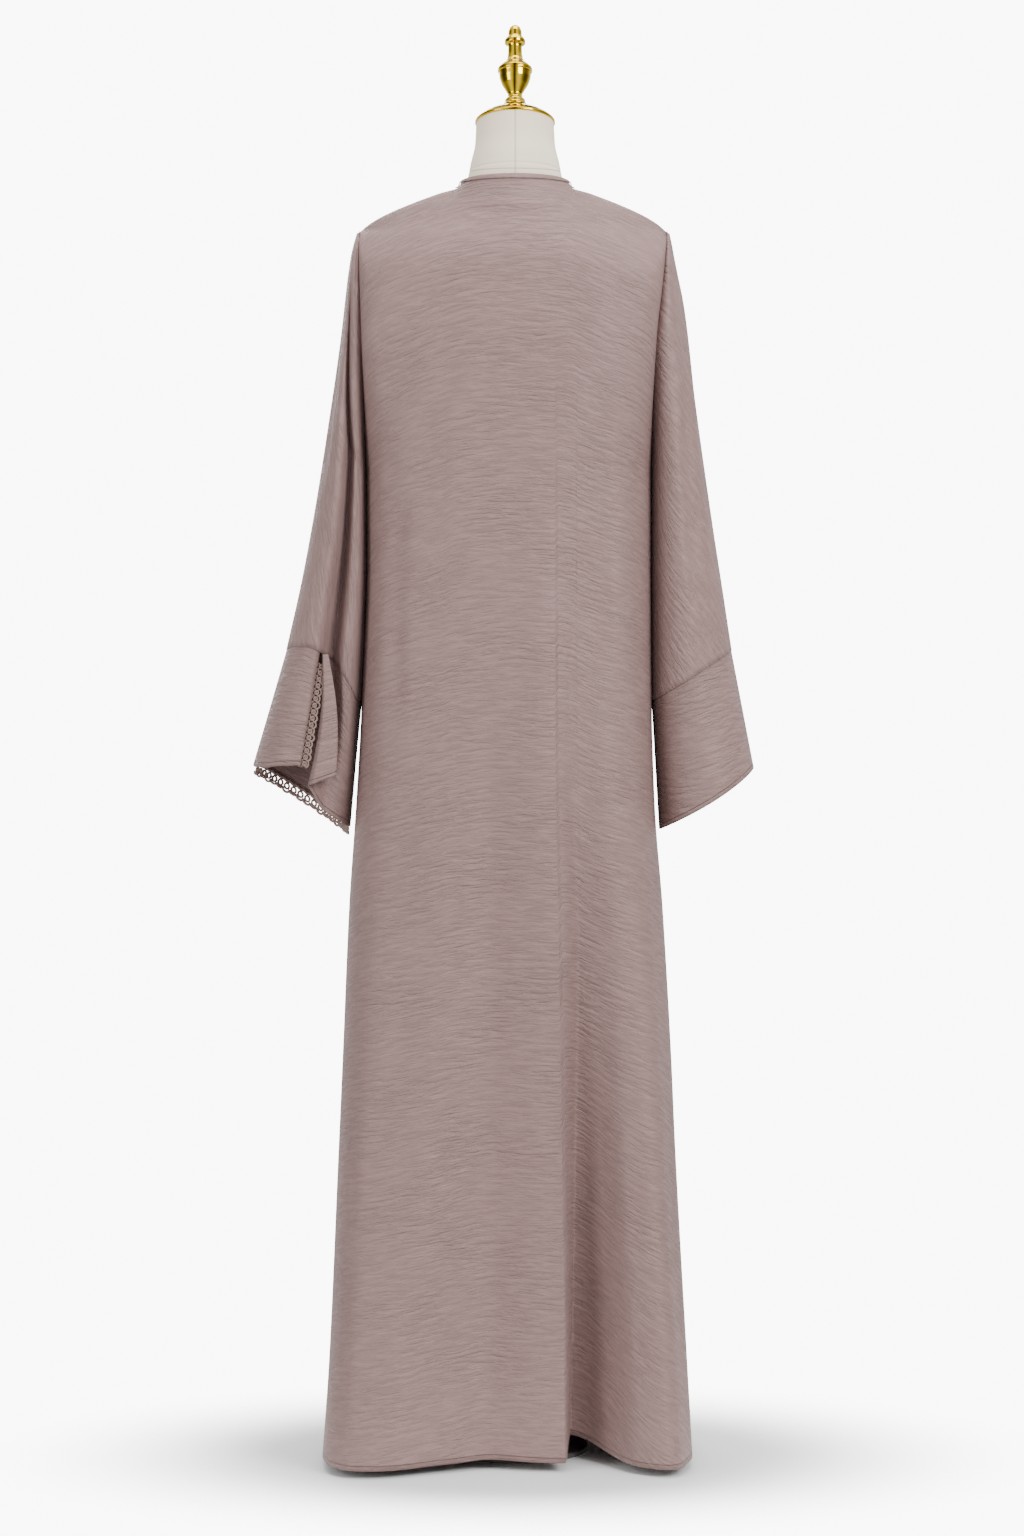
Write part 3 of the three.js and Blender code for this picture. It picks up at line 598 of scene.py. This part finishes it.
def crepe(name, turn=0.0, hem=True):
    """Crinkled satin-backed crepe. The crinkles run across the cloth, turned by some degrees."""
    sheen = dict(sheen_weight=0.08, sheen_roughness=0.4, sheen_tint=(0.85, 0.66, 0.64))
    finish = Finish(name, **sheen, specular_ior_level=0.24)
    drift = finish.noise(finish.place("grain", (13, 13, 1)), detail=1)
    along, down, _ = finish.parts(finish.place("grain", (1, 1, 1), turn))

    def waved(by):
        places = {0: along * by["along"], 1: (down + drift * by["drift"]) * by["down"], 2: 0.0}
        return finish.node("ShaderNodeCombineXYZ", None, places)

    crinkle = finish.noise(waved(CRINKLE), detail=3, rough=0.6, Distortion=0.35)
    small = finish.noise(waved(FINE_CRINKLE), detail=2, rough=0.6)
    patches = finish.noise(finish.place("grain", (11, 17, 1), turn), detail=1).between(0.3, 0.72)
    height = crinkle.between(0.26, 0.78) * (0.3 + patches * 0.5) + small * 0.24
    if hem:
        _, rise, _ = finish.parts(finish.place("edges", (1, 1, 1)))
        fold = rise.between(HEM_DEEP * MM - 0.0008, HEM_DEEP * MM + 0.0004)
        stitch = finish.node("ShaderNodeMath", {"operation": "FRACT"}, {0: along * STITCHES["per_metre"]})
        row = 1 - abs(rise - HEM_DEEP * MM * STITCHES["place"]).between(0.0, 0.0007)
        height = height + (1 - fold) * 0.5 - row * stitch.between(0.2, 0.4) * 0.8
    finish.raise_by(height, *CREPE_RELIEF)
    # painted shade: the troughs of the crinkles take the darker colour
    colour = finish.mix(crinkle.between(0.3, 0.7), CREPE_PAINTED_SHADE, CREPE)
    # painted highlight: the crests of the fine crinkles take the lighter colour
    colour = finish.mix(small.between(0.5, 0.85) * 0.45, colour, CREPE_PAINTED_HIGHLIGHT)
    if hem:
        colour = finish.mix(row * 0.4, colour, STITCHES["colour"])
    finish.set("Base Color", colour)
    finish.set("Roughness", 0.5 - crinkle.between(0.45, 0.8) * 0.1)
    return finish.material


def lace_thread():
    finish = Finish("rose_beige_lace_thread", sheen_weight=0.2, specular_ior_level=0.3)
    place = finish.node("ShaderNodeTexCoord", None, None, out=3)
    grain = finish.noise(place, scale=900.0, detail=1)
    finish.raise_by(grain, 0.0003, 0.6)
    finish.set("Base Color", finish.mix(grain, (0.17, 0.105, 0.088), (0.33, 0.225, 0.195)))
    finish.set("Roughness", 0.62 + grain * 0.15)
    return finish.material


def cover_cloth():
    """Cream cover of the form."""
    finish = Finish("cream_form_cover", sheen_weight=0.1, specular_ior_level=0.25)
    place = finish.node("ShaderNodeTexCoord", None, None, out=3)
    weave = finish.noise(place, scale=1500.0, detail=1)
    cloud = finish.noise(place, scale=14.0, detail=3)
    finish.raise_by(weave, 0.0004, 0.35)
    colour = finish.mix(cloud, (0.87, 0.75, 0.56), (0.94, 0.84, 0.66))
    across, behind, up = finish.parts(place)
    back_half = 1 - behind.between(-0.002, 0.002)
    upright = (1 - abs(across).between(0.0003, 0.0009)) * back_half
    level_ = (1 - abs(up - NECK_SEAM * MM).between(0.0003, 0.0009)) * back_half
    finish.set("Base Color", finish.mix((upright + level_).between(0, 1) * 0.75, colour, (0.42, 0.35, 0.26)))
    finish.set("Roughness", 0.66 + weave * 0.12)
    return finish.material


def polished_brass():
    finish = Finish("polished_brass", metallic=1.0)
    place = finish.node("ShaderNodeTexCoord", None, None, out=3)
    cloud = finish.noise(place, scale=60.0, detail=2)
    finish.set("Base Color", finish.mix(cloud, (0.78, 0.51, 0.012), (0.90, 0.61, 0.03)))
    finish.set("Roughness", 0.07 + cloud * 0.06)
    finish.raise_by(cloud, 0.0003, 0.1)
    return finish.material


def plain_finish(name, colour, rough, metal):
    """Stand parts: a slight mottle over one colour."""
    finish = Finish(name, metallic=metal)
    place = finish.node("ShaderNodeTexCoord", None, None, out=3)
    mottle = finish.noise(place, scale=120.0, detail=3)
    finish.set("Base Color", finish.mix(mottle, tuple(c * 0.94 for c in colour), colour))
    finish.set("Roughness", rough - 0.05 + mottle * 0.1)
    finish.raise_by(mottle, 0.0002, 0.2)
    return finish.material


# ---------------------------------------------------------------- creases, placed one by one
# Each runs from one place to another, across and up in millimetres, with its half width and how
# far it stands out; a trough is negative.
BACK_CREASES = table("x z to_x to_z wide out", [
    (-88, 860, -94, 120, 38, 4.5),
    (-24, 860, -30, 470, 30, -3.2),
    (26, 1080, 34, 560, 36, 3.2),
    (72, 1150, 76, 640, 38, -4.6),
    (112, 1180, 118, 880, 24, 3.4),
    (-128, 1120, -134, 780, 20, -2.2),
    (-60, 1230, -66, 980, 34, 1.6),
    (-88, 1398, 96, 1396, 6, 1.1),
    (-70, 1390, 90, 1388, 6, -1.2),
    (-120, 1352, -60, 1368, 8, 0.8),
    (66, 1366, 130, 1346, 8, 0.8),
])
FRONT_CREASES = table("x z to_x to_z wide out", [
    (-70, 1340, -96, 900, 26, 3.0),
    (-30, 1180, -38, 640, 22, -3.0),
    (-120, 1120, -128, 720, 24, -3.4),
    (60, 1350, 92, 920, 26, 3.2),
    (34, 1120, 40, 520, 20, -2.6),
    (122, 1140, 130, 780, 22, -2.8),
    (-84, 700, -90, 120, 24, 3.0),
    (86, 760, 92, 160, 26, 3.4),
])
LEFT_SLEEVE_CREASES = table("x z to_x to_z wide out", [
    (-20, 40, -34, 300, 16, -2.4),
    (26, 120, 44, 420, 16, -2.2),
    (62, 60, 84, 400, 18, 2.2),
    (-60, 180, -78, 420, 16, 2.0),
])
RIGHT_SLEEVE_CREASES = table("x z to_x to_z wide out", [
    (-24, 40, -40, 330, 18, 2.0),
    (-54, 150, -66, 440, 16, -1.8),
    (34, 100, 60, 420, 18, -2.4),
    (76, 60, 92, 300, 16, 2.2),
])


CREASE_ENDS = (-0.12, 0.3), (0.7, 1.12)  # shares of its length where a crease comes and goes


def creases(rows, x, z):
    out = 0
    comes, goes = CREASE_ENDS
    for x0, z0, x1, z1, wide, deep in zip(*rows.values()):
        dx, dz = x1 - x0, z1 - z0
        long_ = np.hypot(dx, dz)
        along = ((x - x0) * dx + (z - z0) * dz) / long_**2
        off = ((x - x0) * dz - (z - z0) * dx) / long_
        ends = smooth(*comes, along) * (1 - smooth(*goes, along))
        out = out + deep * bump(off / wide) * ends
    return out


def pressed(grid, rows, place, outward):
    """The grid with its creases put in."""
    return grid + normals(grid) * (creases(rows, *place) * outward)[..., None]


# ---------------------------------------------------------------- the cloak
EASE = dict(rounds=60, begins=(2, 40), ends=(150, 260), across=(0.55, 0.75))
SEATED_BY = 8  # how far below its top edge a panel stands off its form in full
BODY_ROWS, CROWDING = 230, 1.25  # rows down a panel, closer together towards its top


def spread(low, high, count):
    return np.linspace(low, high, count + 1)


def hung(piece, node, slot, flat, **more):
    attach(piece, "root")
    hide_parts(node)
    return piece


def eased(grid, u):
    """The grid with the turn beside the neckline softened, away from its edges."""
    soft = grid.copy()
    for _ in range(EASE["rounds"]):
        soft[:, 1:-1] = (soft[:, :-2] + 2 * soft[:, 1:-1] + soft[:, 2:]) / 4
    fall = grid[:1, :, 2] - grid[..., 2]
    share = smooth(*EASE["begins"], fall) * (1 - smooth(*EASE["ends"], fall))
    share = share * (1 - smooth(*EASE["across"], np.abs(u)))
    return grid + (soft - grid) * share[..., None]


def seated(grid):
    """How far the cloth stands off its form: nothing at the seams along its top, where panels meet."""
    return CLOTH / 2 * smooth(0, SEATED_BY, grid[:1, :, 2] - grid[..., 2])


DOWN = spread(0, 1, BODY_ROWS) ** CROWDING
BODY_CREPE = crepe("mauve_crepe_body")


def back():
    u = np.concatenate([spread(-1, 0.12, 66), spread(0.12, 0.4, 42)[1:], spread(0.4, 1, 36)[1:]])
    grid = eased(body_point("back", u[None, :], DOWN[:, None]), u)
    droop = 0.05 + 0.11 * smooth(0.15, 0.6, u) * smooth(1000, 300, grid[..., 2])
    grid = pressed(grid, BACK_CREASES, (grid[..., 0], grid[..., 2]), -1)
    piece = shell("back_panel", grid, -1, BODY_CREPE, seated(grid), droop)
    return hung(piece, "back", "crepe", (0.62, 1.46), held="hung", rests_on=["form_torso"], area=0.72)


def front(side):
    name = "left" if side < 0 else "right"
    u = spread(-1, LAP["reach"], 90) * -side
    grid = eased(front_point(side, u[None, :], DOWN[:, None]), u)
    grid = pressed(grid, FRONT_CREASES, (grid[..., 0], grid[..., 2]), -side)
    piece = shell(f"{name}_front_panel", grid, -side, BODY_CREPE, seated(grid), 0.03)
    return hung(piece, f"front_{name}", "crepe", (0.36, 1.46),
                held="hung", rests_on=["form_torso"], area=0.37)


def sleeve(side):
    name = "left" if side < 0 else "right"
    a = spread(-1, 1, 150)
    grid = sleeve_point(side, spread(0, 1, 130)[:, None], a[None, :])
    head = points(side * (TIP[name] - HEAD["in_"]), HEAD["half"] * a, HEAD["z"] - HEAD["fall"] * np.abs(a))
    cap = head + (grid[0] - head) * spread(0, 1, 4)[:-1, None, None]
    grid = np.concatenate([cap, grid])
    rows = LEFT_SLEEVE_CREASES if side < 0 else RIGHT_SLEEVE_CREASES
    down = lengths(grid, 0) / MM
    grid = pressed(grid, rows, (a[None, :] * ARM["girth_half"] + 0 * down, down), -side)
    material = crepe(f"mauve_crepe_{name}_sleeve", 68 if side < 0 else -62, hem=False)
    piece = shell(f"{name}_sleeve_panel", grid, -side, material)
    rests = ["back_panel", f"{name}_front_panel"]
    return hung(piece, f"sleeve_{name}", "crepe", (0.36, 0.52), held="hung", rests_on=rests, area=0.13)


def right_cuff():
    a, t = np.broadcast_arrays(spread(-1, 1, 120)[None, :], spread(0, 1, 40)[:, None])
    grid = right_cuff_point(a, t)
    piece = shell("right_cuff_band", grid, -1, crepe("mauve_crepe_right_cuff", -14), CUFF_LEVEL)
    return hung(piece, "cuff_right", "crepe", (0.36, 0.16),
                held="hung", rests_on=["right_sleeve_panel"], area=0.053)


def left_cuff():
    t = spread(0, 1, 48)
    w = spread(0, 1, 120)
    f = spread(0, 1, 16)[1:]
    round_ = left_cuff_point(w[None, :], t[:, None])
    flap = flap_point(f[None, :], t[:, None])
    grid = np.concatenate([round_, flap], 1)
    piece = shell("left_cuff_band", grid, 1, crepe("mauve_crepe_left_cuff", 4), CUFF_LEVEL)
    return hung(piece, "cuff_left", "crepe", (0.40, 0.16),
                held="hung", rests_on=["left_sleeve_panel"], area=0.055)


# ---------------------------------------------------------------- lace
def unit(vectors):
    return vectors / np.maximum(np.linalg.norm(vectors, axis=-1, keepdims=True), 1e-9)


class Strip:
    """A band to lay lace on: places along it from 0 to 1, and across it in millimetres."""

    def __init__(self, edge, across, out):
        self.edge, self.across, self.out = edge, across, out
        step = np.linalg.norm(np.diff(edge, axis=0), axis=1)
        self.long = np.concatenate([[0], np.cumsum(step)])

    def at(self, along, across, off=0.0):
        along = np.asarray(along, float)
        mixed = [np.stack([np.interp(along, self.long, rows[:, k]) for k in range(3)], -1)
                 for rows in (self.edge, self.across, self.out)]
        return mixed[0] + mixed[1] * np.asarray(across)[..., None] + mixed[2] * np.asarray(off)[..., None]


def guipure(strip, pitch, deep, thread, net=True):
    """Runs of thread: a braid, a net of crossing bars with small rings, and looped picots."""
    runs = []
    long_ = strip.long[-1]
    count = int(long_ // pitch)
    pitch = long_ / count
    braid = np.linspace(0, long_, count * 8)
    runs.append((strip.at(braid, 0.6 * np.sin(braid * 2 * pi / pitch)), thread * 1.2, False))
    turn = np.linspace(0, 2 * pi, 15)[:-1]
    for i in range(count):
        middle = (i + 0.5) * pitch
        ring = (0.19 if net else 0.24) * deep
        if net:
            for way in (-1, 1):
                s = np.linspace(0, 1, 7)
                along = np.clip(middle + way * (s - 0.5) * pitch * 1.3, 0, long_)
                runs.append((strip.at(along, (0.12 + 0.6 * s) * deep, way * 0.25), thread * 0.8, False))
        loop = strip.at(middle + ring * np.cos(turn), 0.46 * deep + ring * np.sin(turn), 0.5)
        runs.append((loop, thread, True))
        arch = np.linspace(0, pi, 11)
        swell = 0.82 + 0.18 * sin(i * 2.4)
        across = (0.62 + 0.38 * swell * np.sin(arch) ** 0.8) * deep
        runs.append((strip.at(middle - 0.5 * pitch * np.cos(arch), across, 0.15), thread * 1.15, False))
    return runs


SLIT_LACE = dict(pitch=7.0, deep=11.0, thread=0.68)
HEM_LACE = dict(pitch=9.0, deep=12.5, thread=1.05, net=False)


def slit_lace():
    t = spread(0.1, 1.0, 60)
    edge = left_cuff_point(0.0, t)
    edge = edge + np.array([-1.2, CLOTH + 0.9, 0])
    across = unit(points(1.0 + 0 * t, 0.12, -0.12))
    strip = Strip(edge, across, points(0 * t, -1.0, 0))
    piece = cords("slit_lace", guipure(strip, **SLIT_LACE), lace_thread())
    return hung(piece, "lace_slit", "lace", (0.013, 0.125), held="hung", rests_on=["left_cuff_band"])


def hem_lace():
    w = spread(0.3, 0.76, 160)
    hem = left_cuff_point(w, 1.0)
    above = left_cuff_point(w, 0.5)
    down = unit(hem - above)
    along = np.gradient(hem, axis=0)
    inward = unit(np.cross(down, along))
    strip = Strip(hem - down * 1.5 + inward * 1.8, down, inward)
    piece = cords("hem_lace", guipure(strip, **HEM_LACE), lace_thread())
    return hung(piece, "lace_hem", "lace", (0.16, 0.013), held="hung", rests_on=["left_cuff_band"])


# ---------------------------------------------------------------- neck binding
def neck_binding():
    share = NECK["share"]
    u = spread(-share, share, 80)
    front_u = spread(-share, LAP["reach"], 40)[1:][::-1]
    rows = []
    for edge in spread(0, 1, 6):
        lines = []
        for panel, side, places in (("front", -1, front_u), ("back", 0, u), ("front", 1, -front_u[::-1])):
            part = np.minimum(np.abs(places) / share, 1)
            along = places + np.sign(places) * edge * BINDING["along"] * part**4
            down = edge * BINDING["fall"] / PANEL_LENGTH * (1 - part**4) * (1 - 0.4 * part**2)

            def at(u_, v_):
                return body_point(panel, u_, v_) if panel == "back" else front_point(side, u_, v_)

            step = 0.004
            across = at(along + step, down) - at(along - step, down)
            fall = at(along, down + step) - at(along, down)
            out = unit(np.cross(across, fall)) * (-1 if panel == "back" else 1)
            point = at(along, down)
            point[:, 2] += (1 - edge) * BINDING["rise"]
            crown = 0.35 * (1 - (2 * edge - 1) ** 4)
            lines.append(point + out * (CLOTH / 2 + SHELL + 0.2 + crown))
        rows.append(np.concatenate(lines))
    material = crepe("mauve_crepe_binding", hem=False)
    piece = shell("neck_binding_strip", np.stack(rows), -1, material, level=0.0)
    rests = ["back_panel", "left_front_panel", "right_front_panel"]
    return hung(piece, "neck_binding", "crepe", (0.36, 0.01), held="stretched", area=0.0023, rests_on=rests)


# ---------------------------------------------------------------- the dress form
TORSO = table("z middle half deep lean", [
    (1493, 11, 43.4, 43.4, 15),
    (1470, 7, 44.6, 44.4, 13),
    (1448, 2, 49.4, 47, 10),
    (1430, -2, 53, 47, 7),
    (1412, -4, 58, 47, 4),
    (1401, -5, 76, 50, 2),
    (1388, -4, 103, 55, 1),
    (1370, -2, 130, 62, 0),
    (1346, -1, 146, 70, 0),
    (1300, 0, 150, 79, 0),
    (1250, 1, 143, 86, 0),
    (1190, 2, 137, 89, 0),
    (1120, 1, 132, 86, 0),
    (1040, 0, 122, 80, 0),
    (970, 0, 130, 86, 0),
    (890, 0, 140, 92, 0),
    (830, 0, 141, 93, 0),
    (806, 0, 136, 89, 0),
    (800, 0, 128, 84, 0),
])
NECK_SEAM = 1438
GROOVE = dict(deep=0.6, neck_radius=45, upright=0.7, level=0.8)
CAP = dict(lean=15, height=21, gap=0.3)
CAP_OUTLINE = [
    (0, 0), (43.8, 0), (44.8, 1.2), (44.8, 2.6), (43.2, 4.4),
    (39, 8), (32, 12.2), (24, 15.8), (17, 18.2), (12, 20), (0, 21),
]
FINIAL = [
    (0, 0), (14.5, 0), (12, 3), (11.4, 7), (8.6, 10), (8, 14), (11.4, 20), (15, 26), (17.4, 33), (18.2, 40),
    (19.4, 41), (19.4, 44.5), (16.8, 47.5), (12, 51.5), (9, 56), (8, 62), (7.8, 71), (8.6, 73), (11.6, 74.5),
    (11.8, 78), (10, 81), (7.8, 82.5), (7.4, 89.5), (6, 93.5), (3.4, 95.8), (0, 96.5),
]


def torso():
    """The covered form, with a seam up the middle of the neck and one round its root."""
    z = np.unique(np.concatenate([spread(800, 1412, 120), spread(1412, 1493, 90)]))[::-1]
    names = ("middle", "half", "deep", "lean")
    middle, half, deep, lean = (read(TORSO, "z", name, z)[:, None] for name in names)
    turn = np.linspace(0, 2 * pi, 289)[:-1][None, :]
    off_back = np.abs((turn - 1.5 * pi + pi) % (2 * pi) - pi) * GROOVE["neck_radius"]
    upright = GROOVE["deep"] * np.exp(-((off_back / GROOVE["upright"]) ** 2))
    level = GROOVE["deep"] * np.exp(-(((z[:, None] - NECK_SEAM) / GROOVE["level"]) ** 2))
    groove = upright + level
    x = (half - groove) * np.cos(turn)
    y = (deep - groove) * np.sin(turn)
    lean = np.radians(lean)
    rings = points(x, middle + y * np.cos(lean), z[:, None] - y * np.sin(lean))
    piece = stack("covered_form", rings[::-1], cover_cloth())
    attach(piece, "root")
    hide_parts("form_torso")


def brass_top():
    brass = polished_brass()
    lean = Matrix.Rotation(radians(-CAP["lean"]), 4, "X")
    foot = Matrix.Translation(Vector((0, TORSO["middle"][0], TORSO["z"][0])) * MM)
    rises = (("domed_neck_cap", "neck_cap", CAP_OUTLINE, CAP["gap"]),
             ("turned_finial", "finial", FINIAL, CAP["height"] + 2 * CAP["gap"]))
    for name, node, outline, rise in rises:
        piece = turned_piece(name, outline, brass)
        piece.data.transform(foot @ lean @ Matrix.Translation((0, 0, rise * MM)))
        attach(piece, "root")
        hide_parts(node)


def stand():
    steel = plain_finish("satin_steel", (0.6, 0.6, 0.61), 0.34, 1.0)
    enamel = plain_finish("dark_enamel", (0.11, 0.1, 0.095), 0.5, 0.0)
    for node, finish in (("pole", steel), ("pole_socket", steel), ("base", enamel)):
        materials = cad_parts[node].data.materials
        materials.clear()
        materials.append(finish)


# ---------------------------------------------------------------- room, light and camera
ROOM_LIGHT = 0.85  # what the white room gives
ROOM_SEEN = 9.5  # how bright it is to look at
FLOOR = dict(half=4.0, fade=(0.18, 0.44), oval=(0.7, 1, 1))
CAMERA = dict(place=(-0.0034, -4.5, 0.955), tilt=87.7, sensor=36.0, focal=4017.9, high=1536, far=100)
AIM = (0, 0, 0.8)
SOFTBOXES = [  # name, place, width, height, power
    ("key_softbox", (2.7, -3.2, 3.0), 2.0, 2.0, 215),
    ("fill_softbox", (-3.2, -2.8, 1.8), 1.6, 2.4, 78),
    ("top_softbox", (0.2, 0.0, 4.2), 2.4, 2.4, 102),
    ("rear_softbox", (-0.6, 4.2, 2.4), 3.0, 2.4, 120),
]


def room():
    """A pale floor that fades out into a white room."""
    finish = Finish("pale_floor", specular_ior_level=0.2)
    place = finish.node("ShaderNodeTexCoord", None, None, out=3)
    mottle = finish.noise(place, scale=2.0, detail=1)
    oval = finish.node("ShaderNodeMapping", None, {"Vector": place, "Scale": FLOOR["oval"]})
    reach = finish.node("ShaderNodeVectorMath", {"operation": "LENGTH"}, {0: oval}, out=1)
    finish.set("Base Color", finish.mix(mottle, (0.88, 0.88, 0.88), (0.91, 0.91, 0.91)))
    finish.set("Roughness", 0.6)
    finish.set("Alpha", 1 - reach.between(*FLOOR["fade"]))
    size = FLOOR["half"]
    corners = [(-size, -size, 0), (size, -size, 0), (size, size, 0), (-size, size, 0)]
    mesh = bpy.data.meshes.new("studio_floor")
    mesh.from_pydata(corners, [], [(0, 1, 2, 3)])
    mesh.materials.append(finish.material)
    floor = bpy.data.objects.new("studio_floor", mesh)
    bpy.context.scene.collection.objects.link(floor)
    world = bpy.data.worlds.new("studio_white")
    world.use_nodes = True
    nodes, links = world.node_tree.nodes, world.node_tree.links
    path = nodes.new("ShaderNodeLightPath")
    way = nodes.new("ShaderNodeTexCoord")
    bands = nodes.new("ShaderNodeTexWave")
    bands.inputs["Scale"].default_value = 0.3
    bands.inputs["Distortion"].default_value = 1.2
    links.new(way.outputs["Generated"], bands.inputs["Vector"])
    mirrored = nodes.new("ShaderNodeMapRange")
    mirrored.inputs["To Min"].default_value = 0.02
    mirrored.inputs["To Max"].default_value = 1.4 * ROOM_LIGHT
    links.new(bands.outputs[1], mirrored.inputs["Value"])
    glossy = nodes.new("ShaderNodeMix")
    glossy.inputs[2].default_value = ROOM_LIGHT
    links.new(path.outputs["Is Glossy Ray"], glossy.inputs[0])
    links.new(mirrored.outputs[0], glossy.inputs[3])
    seen = nodes.new("ShaderNodeMix")
    seen.inputs[3].default_value = ROOM_SEEN
    links.new(path.outputs["Is Camera Ray"], seen.inputs[0])
    links.new(glossy.outputs[0], seen.inputs[2])
    links.new(seen.outputs[0], nodes["Background"].inputs["Strength"])
    nodes["Background"].inputs["Color"].default_value = (1, 1, 1, 1)
    bpy.context.scene.world = world


def softbox(name, place, width, height, power):
    light = bpy.data.lights.new(name, "AREA")
    light.shape = "RECTANGLE"
    light.size, light.size_y, light.energy = width, height, power
    lamp = bpy.data.objects.new(name, light)
    lamp.location = place
    lamp.rotation_euler = (Vector(AIM) - Vector(place)).to_track_quat("-Z", "Y").to_euler()
    bpy.context.scene.collection.objects.link(lamp)


def lights():
    for row in SOFTBOXES:
        softbox(*row)


def camera():
    lens = bpy.data.cameras.new("studio_camera")
    lens.sensor_fit = "VERTICAL"
    lens.sensor_height = CAMERA["sensor"]
    lens.lens = CAMERA["sensor"] * CAMERA["focal"] / CAMERA["high"]
    lens.clip_end = CAMERA["far"]
    seat = bpy.data.objects.new("studio_camera", lens)
    seat.location = CAMERA["place"]
    seat.rotation_euler = (radians(CAMERA["tilt"]), 0, 0)
    bpy.context.scene.collection.objects.link(seat)
    bpy.context.scene.camera = seat


camera()
room()
lights()
back()
front(-1)
front(1)
sleeve(-1)
sleeve(1)
right_cuff()
left_cuff()
slit_lace()
hem_lace()
neck_binding()
torso()
brass_top()
stand()
